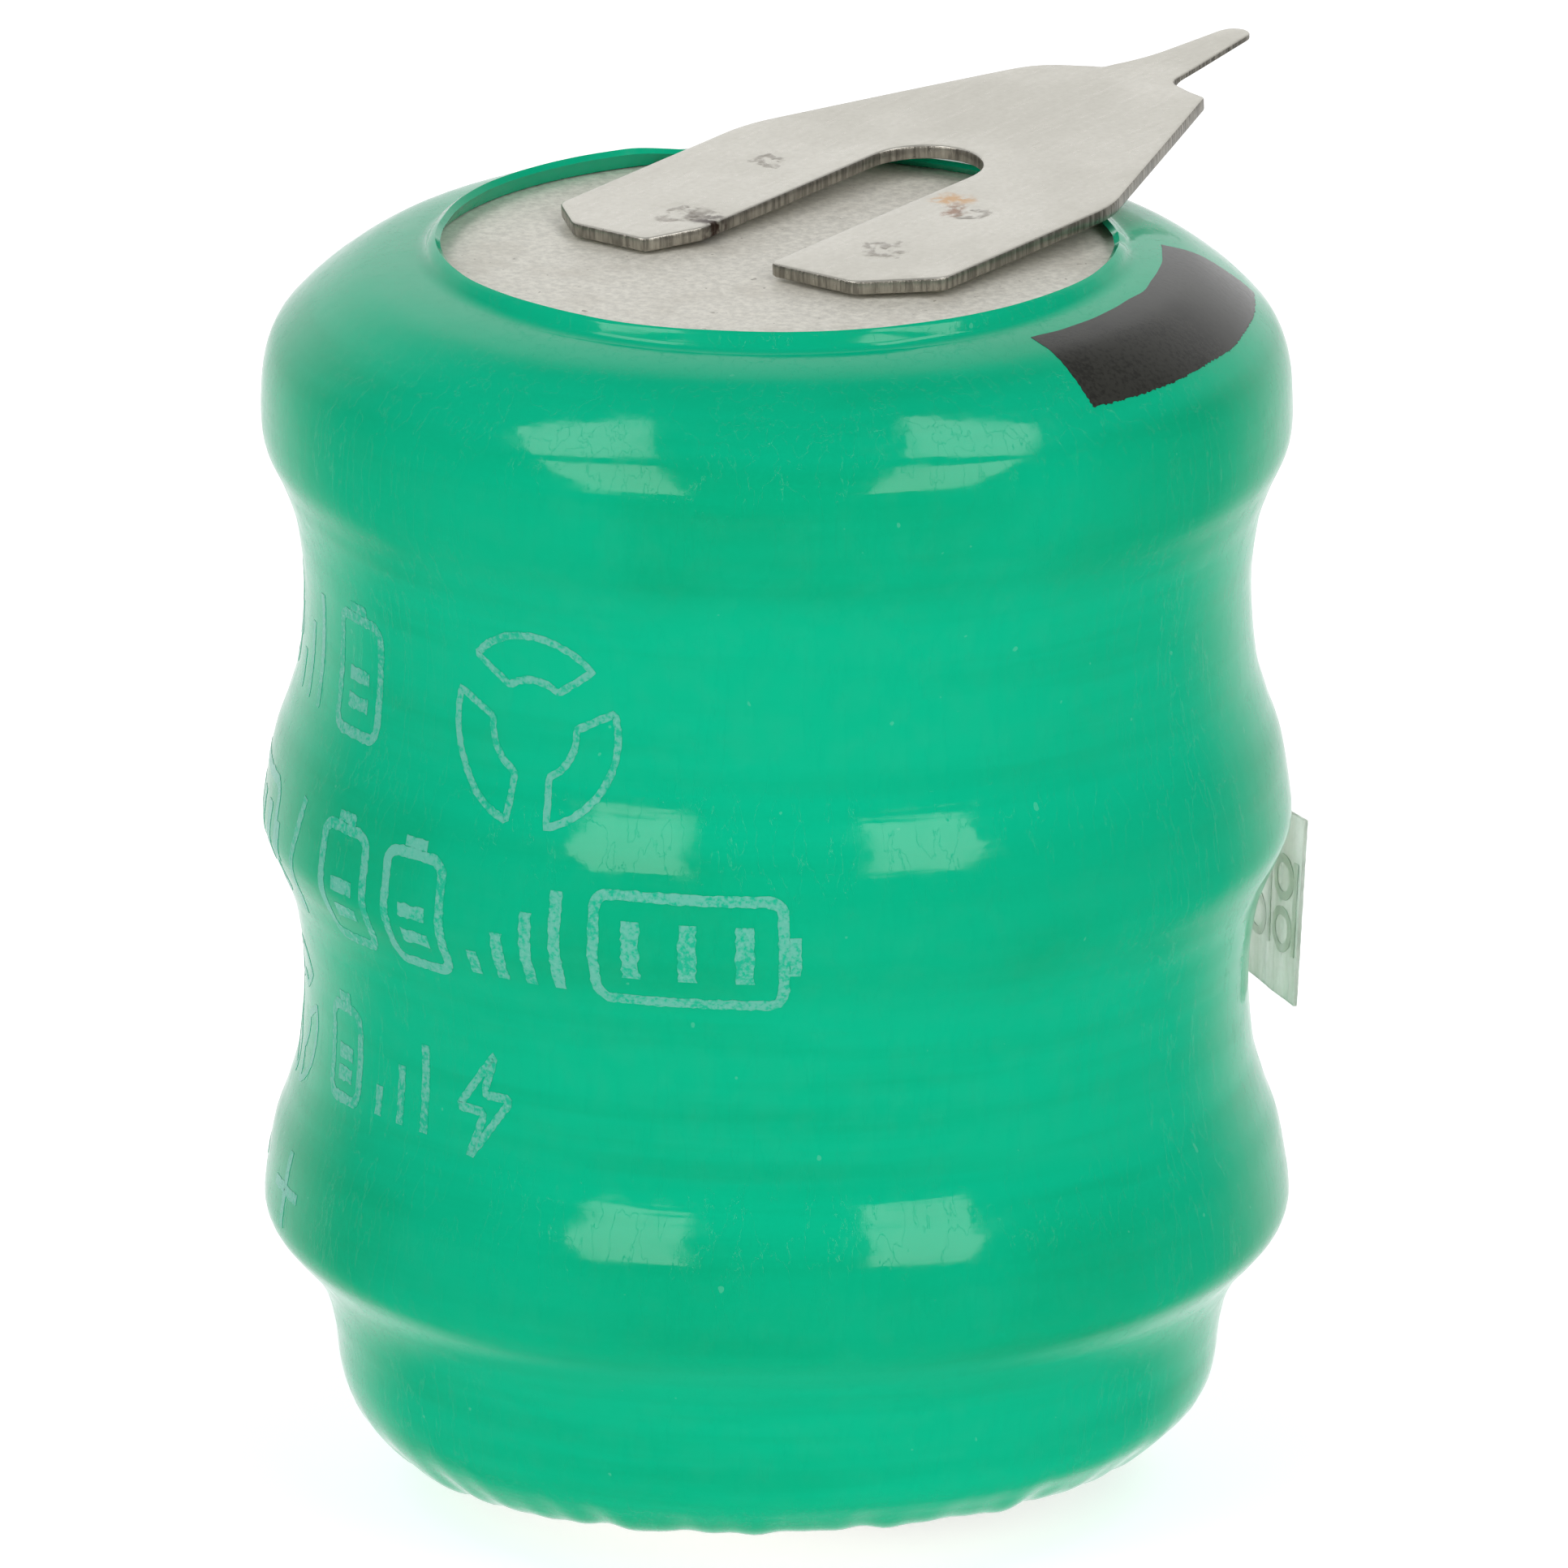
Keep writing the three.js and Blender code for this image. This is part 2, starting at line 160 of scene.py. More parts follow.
def turned(name, outline, segments=96):
    """Solid of revolution. The outline is (radius, height), from axis to axis or a ring off the axis."""
    outline = np.asarray(outline, float)
    solid = outline[0][0] < 1e-6
    ring = outline[1:-1] if solid else outline
    angles = np.linspace(0, 2 * math.pi, segments, endpoint=False)
    points = [(r * math.cos(a), r * math.sin(a), z) for r, z in ring for a in angles]
    rows = len(ring)
    faces = grid_faces(rows, segments, not solid)
    if solid:
        points += [(0, 0, outline[0][1]), (0, 0, outline[-1][1])]
        first, last = rows * segments, rows * segments + 1
        for j in range(segments):
            right = (j + 1) % segments
            faces.append((first, right, j))
            faces.append((last, (rows - 1) * segments + j, (rows - 1) * segments + right))
    return to_mesh(name, points, faces)


def face_out(piece):
    """Turns every face outwards."""
    work = bmesh.new()
    work.from_mesh(piece.data)
    bmesh.ops.recalc_face_normals(work, faces=work.faces)
    work.to_mesh(piece.data)
    work.free()


def sharpen(piece, degrees):
    """Keeps real corners crisp and everything else smooth."""
    piece.data.set_sharp_from_angle(angle=math.radians(degrees))


def paint(piece, look):
    piece.data.materials.clear()
    piece.data.materials.append(look.material)


def place(piece, look, slot, *nodes):
    """The piece gets its look, rides with the pack and stands for these CAD nodes."""
    paint(piece, look)
    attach(piece, "root")
    if nodes:
        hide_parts(*nodes)


# ---- node materials ----


class Nodes:
    """A node tree. Sockets are set or linked by name, or by number with an i before it."""

    def __init__(self, tree):
        self.tree = tree
        tree.nodes.clear()

    def add(self, kind, settings=None, **inputs):
        node = self.tree.nodes.new("ShaderNode" + kind)
        for key, value in (settings or {}).items():
            setattr(node, key, value)
        for key, value in inputs.items():
            self.put(node, key, value)
        return node

    def put(self, node, key, value):
        name = key.replace("_", " ")
        socket = node.inputs[int(key[1:])] if key[0] == "i" and key[1:].isdigit() else node.inputs[name]
        if isinstance(value, bpy.types.NodeSocket):
            self.tree.links.new(value, socket)
        else:
            socket.default_value = value

    def math(self, operation, a, b=0.0, c=0.0):
        return self.add("Math", {"operation": operation}, i0=a, i1=b, i2=c).outputs[0]

    def times(self, a, b):
        return self.math("MULTIPLY", a, b)

    def vector(self, operation, a, b=(0, 0, 0)):
        node = self.add("VectorMath", {"operation": operation}, i0=a, i1=b)
        single = operation in ("LENGTH", "DISTANCE", "DOT_PRODUCT")
        return node.outputs["Value" if single else "Vector"]

    def millimetres(self):
        """The point being shaded, in millimetres in the part's frame."""
        node = self.add("TexCoord").outputs["Object"]
        scaled = self.add("VectorMath", {"operation": "SCALE"}, i0=node)
        scaled.inputs["Scale"].default_value = 1 / MM
        return scaled.outputs[0]

    def split(self, vector):
        return self.add("SeparateXYZ", i0=vector).outputs

    def join(self, x, y, z):
        return self.add("CombineXYZ", i0=x, i1=y, i2=z).outputs[0]

    def noise(self, vector, scale, detail=3.0, roughness=0.55):
        node = self.add("TexNoise", Vector=vector, Scale=scale, Detail=detail, Roughness=roughness)
        return node.outputs["Fac"]

    def ramp(self, value, low, high, out_low=0.0, out_high=1.0):
        """Smooth step from out_low to out_high, while the value goes from low to high."""
        limits = {"From_Min": low, "From_Max": high, "To_Min": out_low, "To_Max": out_high}
        node = self.add("MapRange", {"interpolation_type": "SMOOTHSTEP"}, Value=value, **limits)
        return node.outputs["Result"]

    def mix(self, factor, a, b):
        return self.add("Mix", {"data_type": "RGBA"}, i0=factor, i6=a, i7=b).outputs[2]

    def bump(self, height, distance, normal=None):
        node = self.add("Bump", Height=height, Distance=distance, Strength=1.0)
        if normal is not None:
            self.put(node, "Normal", normal)
        return node.outputs[0]


class Look(Nodes):
    """A procedural material with one Principled shader."""

    def __init__(self, name):
        self.material = bpy.data.materials.new(name)
        self.material.use_nodes = True
        super().__init__(self.material.node_tree)
        self.shader = self.add("BsdfPrincipled")
        self.add("OutputMaterial", Surface=self.shader.outputs["BSDF"])

    def set(self, **inputs):
        for key, value in inputs.items():
            self.put(self.shader, key, value)


def rgb(*screen):
    """A colour from its three screen values of 0 to 255."""
    shares = [value / 255 for value in screen]
    linear = [((s + 0.055) / 1.055) ** 2.4 if s > 0.0404 else s / 12.92 for s in shares]
    return (*linear, 1.0)


# ---- the sleeve's film ----

# Collar, shoulder, foot and foot turn are (radius, depth below their cell's top), and a waist is
# (how far in from the sleeve's radius, depth below the upper cell's top).

FILM = 0.08
TOP_MOUTH = 5.18
BOTTOM_MOUTH = 5.1
BEAD = 0.09
LIP_RISE = 0.36
LIP_PRESSED = 0.16
BOTTOM_LIP_DROP = 0.36
OUTSIDE_STEP, INSIDE_STEP = 0.12, 0.35
SLEEVE_COLUMNS = 288
COLLAR = [(5.42, -0.14), (5.56, -0.09), (5.76, -0.06)]
SHOULDER = [(6.1, 0.01), (6.45, 0.12), (6.8, 0.32), (7.2, 0.62)]
SHOULDER += [(7.5, 0.91), (7.72, 1.18), (7.85, 1.48), (7.92, 1.88)]
WAIST = [(0, 2.5), (0.07, 2.92), (0.3, 3.42), (0.52, 4.08)]
WAIST += [(0.64, 5.1), (0.57, 6.3), (0.38, 7.05), (0.16, 7.7)]
FOOT = [(7.93, 2.4), (7.88, 2.76), (7.7, 3.02), (7.3, 3.46), (7.01, 3.96), (6.86, 4.55), (6.78, 5.17)]
FOOT_TURN = [(6.67, 5.5), (6.47, 5.78), (6.02, 6.18), (5.72, 6.36)]


def in_cell(cell, points):
    """(radius, depth below that cell's top) as (radius, height)."""
    return [(radius, CELL_TOPS[cell - 1] - depth) for radius, depth in points]


def film_outside():
    """Outer face of the film as (radius, height), from the top lip's mouth to the bottom one's."""
    top_bead = arc((TOP_MOUTH + BEAD, STACK_TOP + LIP_RISE - BEAD), BEAD, 250, 5, 12)
    bottom_centre = (BOTTOM_MOUTH + 0.3, STACK_BOTTOM - BOTTOM_LIP_DROP + 0.14)
    bottom_bead = arc(bottom_centre, (0.3, 0.14), -50, -190, 10)
    waists = [
        (SLEEVE_RADIUS - inward, height)
        for cell in CELLS[:-1]
        for inward, height in in_cell(cell, WAIST)
    ]
    body = in_cell(1, COLLAR + SHOULDER) + waists + in_cell(3, FOOT + FOOT_TURN)
    between = catmull(top_bead[-1:] + body + bottom_bead[:1], 10)
    return np.vstack([top_bead[:-1], between, bottom_bead[1:]])


def evenly(points, spacing, closed=False):
    """The same line with points that far apart."""
    points = np.asarray(points, float)
    if closed:
        points = np.vstack([points, points[:1]])
    along = np.concatenate([[0], np.cumsum(np.linalg.norm(np.diff(points, axis=0), axis=1))])
    count = max(2, round(along[-1] / spacing))
    wanted = np.linspace(0, along[-1], count + 1)
    if closed:
        wanted = wanted[:-1]
    return np.column_stack([np.interp(wanted, along, column) for column in points.T])


def film_ring():
    """The film's closed section: its outside, and its inside a wall's thickness in."""
    outside = evenly(OUTSIDE, OUTSIDE_STEP)
    inside = outside - left_of(outside) * FILM
    radius, height = outside.T
    clear = (height < STACK_TOP + 0.02) & (height > STACK_BOTTOM - 0.2) & (radius > 5.9)
    back = inside[clear][::-1]
    foot = [(BOTTOM_MOUTH, STACK_BOTTOM - 0.02), (BOTTOM_MOUTH + 0.5, STACK_BOTTOM - 0.02)]
    head = [(TOP_MOUTH + 0.4, STACK_TOP + 0.02), (TOP_MOUTH + BEAD + 0.07, STACK_TOP + 0.02)]
    return np.vstack([outside, evenly(np.vstack([foot, back, head]), INSIDE_STEP)])


def step(value, low, high):
    t = np.clip((value - low) / (high - low), 0, 1)
    return t * t * (3 - 2 * t)


class Wander:
    """A closed random line round the axis: sines of whole frequencies with seeded phases."""

    def __init__(self, seed, frequencies):
        dice = np.random.default_rng(seed)
        self.waves = [(k, dice.uniform(0, 2 * math.pi), dice.uniform(0.5, 1)) for k in frequencies]

    def __call__(self, angle):
        total = sum(size * np.sin(k * angle + phase) for k, phase, size in self.waves)
        return total / len(self.waves) ** 0.5


LIP_WANDER = Wander(3, (3, 5, 8, 11))
FINE_WANDER = Wander(5, (17, 23, 31, 44))
PLEATS = Wander(8, (19, 26, 37, 53))
SLOW_WANDER = Wander(11, (2, 3, 5))
BAND_WANDER = Wander(13, (2, 3, 4))
PRESS_START, PRESS_END = math.radians(46), math.radians(138)
HOOP_PITCH, HOOP_HEIGHT = 0.86, 0.0025
HOLLOW_DEPTH = 0.014
CRUMPLE_HEIGHT = 0.05
SIDE_FADES = ((0.4, 1.2), (17.5, 18.2))
FOOT_FADE, FOOT_EDGE_FADE = (17.6, 18.7), (18.2, 18.8)
FRONT_ANGLE = math.radians(-51.5)


def settle(angle, radius, height):
    """Where the shrunk film lies: hoops, hollows, a lip pressed under the tag, pleats at the foot."""
    angle, radius, height = np.broadcast_arrays(angle, radius, height)
    turn = np.mod(angle, 2 * math.pi)
    depth = STACK_TOP - height
    on_side = step(depth, *SIDE_FADES[0]) * (1 - step(depth, *SIDE_FADES[1]))
    hoops = np.sin(2 * math.pi * depth / HOOP_PITCH + 1.6 * BAND_WANDER(angle))
    hoops = hoops * (0.6 + 0.4 * SLOW_WANDER(angle + 0.3 * depth))
    moved_out = on_side * (HOOP_HEIGHT * hoops + HOLLOW_DEPTH * SLOW_WANDER(angle + 0.11 * depth))

    lip = step(height, STACK_TOP + 0.05, STACK_TOP + LIP_RISE) * (1 - step(radius, 5.5, 6.1))
    pressed = step(turn, PRESS_START - 0.3, PRESS_START) * (1 - step(turn, PRESS_END, PRESS_END + 0.3))
    moved_out = moved_out + lip * (0.02 * LIP_WANDER(angle) + 0.005 * FINE_WANDER(angle))
    moved_up = lip * (0.012 * LIP_WANDER(angle + 1) - LIP_PRESSED * pressed)
    before = turn - PRESS_START
    crumple = np.exp(-(((before + 0.04) / 0.05) ** 2)) - 0.7 * np.exp(-(((before + 0.13) / 0.04) ** 2))
    moved_up = moved_up + lip * CRUMPLE_HEIGHT * crumple

    foot = step(depth, *FOOT_FADE)
    moved_out = moved_out + foot * (0.02 * PLEATS(angle) + 0.03 * LIP_WANDER(angle + 2))
    from_front = angle - FRONT_ANGLE
    moved_up = moved_up + foot * (0.09 * np.cos(2 * from_front) + 0.12 * np.sin(from_front))
    moved_up = moved_up + 0.03 * step(depth, *FOOT_EDGE_FADE) * PLEATS(angle + 0.4)
    return radius + moved_out, height + moved_up


def round_axis(angle, radius, height):
    angle, radius, height = np.broadcast_arrays(angle, radius, height)
    return np.stack([radius * np.cos(angle), radius * np.sin(angle), height], axis=-1)


OUTSIDE = film_outside()
SIDE = OUTSIDE[(OUTSIDE[:, 0] > TOP_MOUTH + 0.5) & (OUTSIDE[:, 1] > STACK_BOTTOM)]


def film_radius(height):
    return np.interp(-height, -SIDE[:, 1], SIDE[:, 0])


def on_film(angle, height, lift):
    """A point on the film's outside at that angle and height, lifted off it."""
    reach = 0.02
    slope = film_radius(height - reach) - film_radius(height + reach)
    lean = np.arctan2(slope, 2 * reach)
    radius, height = settle(angle, film_radius(height), height)
    return round_axis(angle, radius + lift * np.cos(lean), height + lift * np.sin(lean))


def make_sleeve():
    ring = film_ring()
    angles = np.linspace(0, 2 * math.pi, SLEEVE_COLUMNS, endpoint=False)
    radius, height = settle(angles[None, :], ring[:, :1], ring[:, 1:])
    points = round_axis(angles[None, :], radius, height).reshape(-1, 3)
    return to_mesh("shrink_sleeve", points, grid_faces(len(ring), SLEEVE_COLUMNS, True), 50)


# ---- print ----

INK = 0.006
INK_SUNK = 0.02
INK_STEP = 0.07


class Ink:
    """Printed strokes as thin closed bodies. The surface turns (across, up, lift) into a point."""

    def __init__(self, surface, seed, rag=0.16):
        self.surface = surface
        self.dice = np.random.default_rng(seed)
        self.rag = rag
        self.points = []
        self.faces = []

    def stroke(self, path, width, closed=False, at=(0, 0)):
        path = evenly(path, INK_STEP, closed) + np.array(at)
        side = left_of(path, closed) * width / 2
        ragged = 1 + self.dice.uniform(-self.rag, self.rag, (2, len(path), 1))
        left, right = path + side * ragged[0], path - side * ragged[1]
        corners = [(left, INK), (right, INK), (right, -INK_SUNK), (left, -INK_SUNK)]
        first = len(self.points)
        body = np.stack([self.surface(line[:, 0], line[:, 1], lift) for line, lift in corners], axis=1)
        self.points += [tuple(p) for p in body.reshape(-1, 3)]
        count = len(path)
        for i in range(count if closed else count - 1):
            a, b = first + 4 * i, first + 4 * ((i + 1) % count)
            for k in range(4):
                self.faces.append((a + k, a + (k + 1) % 4, b + (k + 1) % 4, b + k))
        if not closed:
            self.faces.append(tuple(first + k for k in range(4)))
            self.faces.append(tuple(first + 4 * (count - 1) + k for k in range(4)))

    def piece(self, name):
        return to_mesh(name, self.points, self.faces)


def rounded_box(width, height, corner=0.22):
    corners = [(1, 1, 0), (-1, 1, 90), (-1, -1, 180), (1, -1, 270)]
    path = []
    for across, up, start in corners:
        centre = (across * (width / 2 - corner), up * (height / 2 - corner))
        path += arc(centre, corner, start, start + 90, 4)
    return path


def cell_sign(ink, at, width, height, line):
    """Upright battery: outline, contact on top and two charge bars."""
    ink.stroke(rounded_box(width, height), line, True, at)
    ink.stroke([(-width * 0.2, height / 2 + line), (width * 0.2, height / 2 + line)], line, False, at)
    for up in (-height * 0.24, 0.0):
        ink.stroke([(-width * 0.24, up), (width * 0.24, up)], line * 1.3, False, at)


def gauge_sign(ink, at, width, height, line):
    """Lying battery with its contact on the right and three charge bars."""
    ink.stroke(rounded_box(width, height), line, True, at)
    ink.stroke([(width / 2 + line, -height * 0.18), (width / 2 + line, height * 0.18)], line, False, at)
    for across in (-width * 0.3, 0.0, width * 0.3):
        ink.stroke([(across, -height * 0.27), (across, height * 0.27)], line * 1.6, False, at)


def bars_sign(ink, at, width, height, line, count=3):
    """Bars that rise to the right."""
    for i in range(count):
        across = width * (i / (count - 1) - 0.5)
        top = height * ((i + 1) / count - 0.5)
        ink.stroke([(across, -height / 2), (across, top)], line, False, at)


def bolt_sign(ink, at, height, line):
    """Charging bolt."""
    shape = [(0.15, 0.5), (-0.3, -0.06), (0.02, -0.06), (-0.14, -0.5), (0.32, 0.1), (0.0, 0.1)]
    corners = [(x * height, y * height) for x, y in shape]
    ink.stroke(rounded(corners, [0.1] * len(corners)), line, True, at)


def plus_sign(ink, at, size, line):
    ink.stroke([(-size / 2, 0), (size / 2, 0)], line, False, at)
    ink.stroke([(0, -size / 2), (0, size / 2)], line, False, at)


def triple_sign(ink, at, radius, line):
    """Three hollow arc segments round a centre."""
    for turn in (90, 210, 330):
        outer = arc((0, 0), radius, turn - 46, turn + 46, 10)
        inner = arc((0, 0), radius * 0.52, turn + 36, turn - 36, 6)
        ink.stroke(outer + inner, line, True, at)


PRINT_RADIUS = 7.7
ROW_DEPTHS = {"top": 5.65, "middle": 8.8, "lower": 11.85, "foot": 14.4}


def make_print():
    """Pale signs in four rows, placed by their angle from the front."""

    def surface(across, up, lift):
        return on_film(FRONT_ANGLE + across / PRINT_RADIUS, up, lift)

    ink = Ink(surface, seed=21)

    def spot(degrees, row):
        return (PRINT_RADIUS * math.radians(degrees), STACK_TOP - ROW_DEPTHS[row])

    thin, line = 0.12, 0.17
    triple_sign(ink, spot(-30.5, "top"), 1.5, thin)
    cell_sign(ink, spot(-61, "top"), 1.3, 1.8, line)
    bars_sign(ink, spot(-77, "top"), 1.2, 1.8, line)
    gauge_sign(ink, spot(-97, "top"), 2.4, 1.5, line)

    ink.stroke([(-0.3, -1.0), (0.3, 1.0)], thin * 1.3, False, spot(-70, "middle"))
    cell_sign(ink, spot(-57.5, "middle"), 1.15, 1.8, line)
    cell_sign(ink, spot(-45, "middle"), 1.15, 1.8, line)
    bars_sign(ink, spot(-31, "middle"), 1.5, 1.6, line * 1.15, 4)
    gauge_sign(ink, spot(-10, "middle"), 2.9, 1.7, line)
    gauge_sign(ink, spot(-86, "middle"), 2.4, 1.7, line)
    plus_sign(ink, spot(-106, "middle"), 1.3, line)

    cell_sign(ink, spot(-65, "lower"), 1.0, 1.45, line)
    bars_sign(ink, spot(-52, "lower"), 1.2, 1.4, line)
    bolt_sign(ink, spot(-38, "lower"), 1.75, line * 0.8)
    triple_sign(ink, spot(-84, "lower"), 1.1, thin)
    bars_sign(ink, spot(-104, "lower"), 1.5, 1.5, line, 4)

    plus_sign(ink, spot(-75, "foot"), 1.2, line)
    ink.stroke([(-0.6, 0), (0.6, 0)], line, False, spot(-95, "foot"))
    return ink.piece("print_marks")


def make_polarity_band():
    """Dark printed sector on the shoulder beside the positive tag."""
    start, end = math.radians(-10.5), math.radians(43.7)
    columns, rows = 220, 26
    dice = np.random.default_rng(9)
    angles = np.linspace(start, end, columns)
    upper = STACK_TOP + 0.03 + 0.004 * FINE_WANDER(angles)
    lower = STACK_TOP - 0.76 + 0.012 * FINE_WANDER(angles) + 0.015 * LIP_WANDER(angles)
    lower += dice.uniform(-0.012, 0.012, columns)
    share = np.linspace(0, 1, rows)[:, None]
    height = upper[None, :] * (1 - share) + lower[None, :] * share
    angle = np.tile(angles, (rows, 1))
    angle[:, 0] += dice.uniform(-0.002, 0.002, rows)
    angle[:, -1] += dice.uniform(-0.002, 0.002, rows)
    return sheet_piece("polarity_band", on_film(angle, height, INK), on_film(angle, height, -INK_SUNK))


def sheet_piece(name, front, back):
    """Closed thin body between two grids of the same size."""
    rows, columns, _ = front.shape
    points = np.concatenate([front.reshape(-1, 3), back.reshape(-1, 3)])
    size = rows * columns
    faces = []
    for i in range(rows - 1):
        for j in range(columns - 1):
            a = i * columns + j
            faces.append((a, a + 1, a + columns + 1, a + columns))
            faces.append((size + a, size + a + columns, size + a + columns + 1, size + a + 1))
    edge = list(range(columns))
    edge += [i * columns + columns - 1 for i in range(1, rows)]
    edge += [(rows - 1) * columns + j for j in range(columns - 2, -1, -1)]
    edge += [i * columns for i in range(rows - 2, 0, -1)]
    for a, b in zip(edge, edge[1:] + edge[:1]):
        faces.append((a, size + a, size + b, b))
    return to_mesh(name, points, faces, 50)


# ---- label ----

LABEL_SPAN = (box_mm("label")[0][2] - 0.16, box_mm("label")[1][2] - 0.07)
LABEL_RADIUS = 7.84
LABEL_LEAVES_AT = math.radians(61.5)
LABEL_WRAP = math.radians(42)
LABEL_FLAP = 2.34
LABEL_FILM = 0.06


def on_label(along, height, lift):
    """A point on the label, that far from its free end. Lift is away from the axis."""
    along, height, lift = np.broadcast_arrays(along, height, lift)
    share = (height - LABEL_SPAN[0]) / (LABEL_SPAN[1] - LABEL_SPAN[0])
    free = np.clip(LABEL_FLAP - along, 0, None)
    angle = LABEL_LEAVES_AT + np.clip(along - LABEL_FLAP, 0, None) / LABEL_RADIUS
    skin = film_radius(height) + 0.03
    pressed = step(along - LABEL_FLAP, 0.2, 4.0)
    radius = LABEL_RADIUS * (1 - pressed) + np.minimum(skin, LABEL_RADIUS) * pressed
    curl = 0.05 * (free / LABEL_FLAP) ** 2 - 0.17 * (1 - share) * free / LABEL_FLAP
    crease = 0.02 * np.sin(5 * along + 2 * share) * (0.3 + 0.7 * pressed)
    radius = radius + curl + crease + lift
    points = round_axis(angle, radius, height)
    points[..., 0] += free * math.sin(LABEL_LEAVES_AT)
    points[..., 1] -= free * math.cos(LABEL_LEAVES_AT)
    return points


def make_label():
    length = LABEL_FLAP + LABEL_WRAP * LABEL_RADIUS
    dice = np.random.default_rng(4)
    along, share = np.meshgrid(np.linspace(0, length, 120), np.linspace(0, 1, 44))
    height = LABEL_SPAN[0] + share * (LABEL_SPAN[1] - LABEL_SPAN[0])
    along[:, 0] += dice.uniform(-0.008, 0.008, len(share))
    outer = on_label(along, height, LABEL_FILM / 2)
    return sheet_piece("label_strip", outer, on_label(along, height, -LABEL_FILM / 2))


def make_label_marks():
    """Rings and bars on the face of the flap that shows."""
    middle = sum(LABEL_SPAN) / 2

    def surface(across, up, lift):
        return on_label(across, up, -lift - LABEL_FILM / 2)

    ink = Ink(surface, seed=17, rag=0.08)
    line, radius, reach = 0.14, 0.3, 0.75
    for along in (0.62, 1.62):
        for up in (-0.42, 0.42):
            ink.stroke(arc((0, 0), radius, 0, 354, 24), line, True, (along, middle + up))
    for along in (0.18, 1.14):
        ink.stroke([(0, -reach), (0, reach)], line, False, (along, middle))
    return ink.piece("label_marks")


# ---- plates: solder tags and cell links ----


def inside(points, loop):
    """Which points lie in the closed loop."""
    found = np.zeros(len(points), bool)
    for (ax, ay), (bx, by) in zip(loop, np.roll(loop, -1, axis=0)):
        crosses = (ay > points[:, 1]) != (by > points[:, 1])
        reach = (bx - ax) * (points[:, 1] - ay) / ((by - ay) or 1e-12) + ax
        found ^= crosses & (points[:, 0] < reach)
    return found


def grid(low, high, spacing):
    """Points of a triangular grid over a rectangle."""
    xs = np.arange(low[0], high[0], spacing)
    ys = np.arange(low[1], high[1], spacing * 0.866)
    points = [(x + (j % 2) * spacing / 2, y) for j, y in enumerate(ys) for x in xs]
    return np.array(points)


def capped(loop, extra):
    """Triangles of the loop's inside, with the extra points. The loop's points keep their numbers."""
    points = [Vector(p) for p in np.vstack([loop, extra])]
    _, _, faces, sources, _, _ = delaunay_2d_cdt(points, [], [list(range(len(loop)))], 1, 1e-6)
    return [tuple(sources[v][0] for v in face) for face in faces]


PLATE_EDGE = [(0.06, 0.0), (0.03, 0.006), (0.01, 0.018), (0.0, 0.04)]
BURR = [(0.0, 0.03), (0.008, 0.01), (0.025, 0.0)]
LOOP_STEP, CAP_STEP = 0.1, 0.3
WELD_PATCH, WELD_STEP = 0.6, 0.06


def plate(name, loop, thickness, relief, welds, pose):
    """Sheet-metal blank with a rolled upper edge and a lower one cut by shearing. Relief lifts (x, y,
    height).
    """
    loop = evenly(loop, LOOP_STEP, True)
    outward = -left_of(loop, True)
    section = [(inset, thickness - drop) for inset, drop in PLATE_EDGE] + BURR
    rings = [loop - outward * inset for inset, _ in section]
    low, high = loop.min(axis=0), loop.max(axis=0)
    extra = grid(low, high, CAP_STEP)
    for weld in np.array(welds):
        far = np.linalg.norm(extra - weld, axis=1) > WELD_PATCH + 0.02
        extra = np.vstack([extra[far], grid(weld - WELD_PATCH, weld + WELD_PATCH, WELD_STEP)])
    nearest = np.min(np.linalg.norm(extra[:, None] - loop[None], axis=2), axis=1)
    extra = extra[inside(extra, loop) & (nearest > 0.11)]
    cap = capped(rings[0], extra)

    count = len(loop)
    points, faces = [], []
    for (_, height), ring in zip(section, rings):
        points += [(x, y, height) for x, y in ring]
    for i in range(len(section) - 1):
        for j in range(count):
            a, b = i * count + j, i * count + (j + 1) % count
            faces.append((a, a + count, b + count, b))
    for height, ring_start in ((thickness, 0), (0.0, (len(section) - 1) * count)):
        extra_start = len(points)
        points += [(x, y, height) for x, y in extra]
        for face in cap:
            faces.append(tuple(ring_start + v if v < count else extra_start + v - count for v in face))
    points = np.array(points)
    points[:, 2] += relief(*points.T)
    return to_mesh(name, pose(points), faces, 40)


def rounded(corners, radii, steps=6):
    """Closed outline whose corners are rounded by that much."""
    corners = np.array(corners, float)
    path = []
    ahead_of, behind = np.roll(corners, -1, axis=0), np.roll(corners, 1, axis=0)
    for before, here, after, radius in zip(behind, corners, ahead_of, radii):
        back, ahead = before - here, after - here
        back_length, ahead_length = np.linalg.norm(back), np.linalg.norm(ahead)
        cut = min(radius, 0.45 * back_length, 0.45 * ahead_length)
        start, end = here + back / back_length * cut, here + ahead / ahead_length * cut
        for t in np.linspace(0, 1, steps):
            path.append((1 - t) ** 2 * start + 2 * t * (1 - t) * here + t**2 * end)
    return np.array(path)


TAG_THICKNESS = 0.22
TAG_LIFT = 0.05
TAG_REST = -1.5
TAG_CENTRE = -0.2
TAG_HALF_WIDTH = 3.62
LONG_LEG, SHORT_LEG = -1.24, -1.1
SLOT_CENTRE, SLOT_RADIUS, SLOT_END = -0.25, 0.95, 3.92
TAPER_START = 4.0
PIN_TIP_RADIUS = 0.27
PIN_THINNING = 0.12
WELDS = [(-2.37, 2.78), (-1.93, 0.03), (1.85, 2.47), (1.8, 0.3)]
WELD_RINGS = [0.24, 0.36, 0.28, 0.38]
WELD_DEPTH = 0.008
POSITIVE_TILT = math.radians(2.75)
NEGATIVE_TILT = math.radians(4.4)
POSITIVE_SHOULDER, NEGATIVE_SHOULDER = 9.0, 7.6


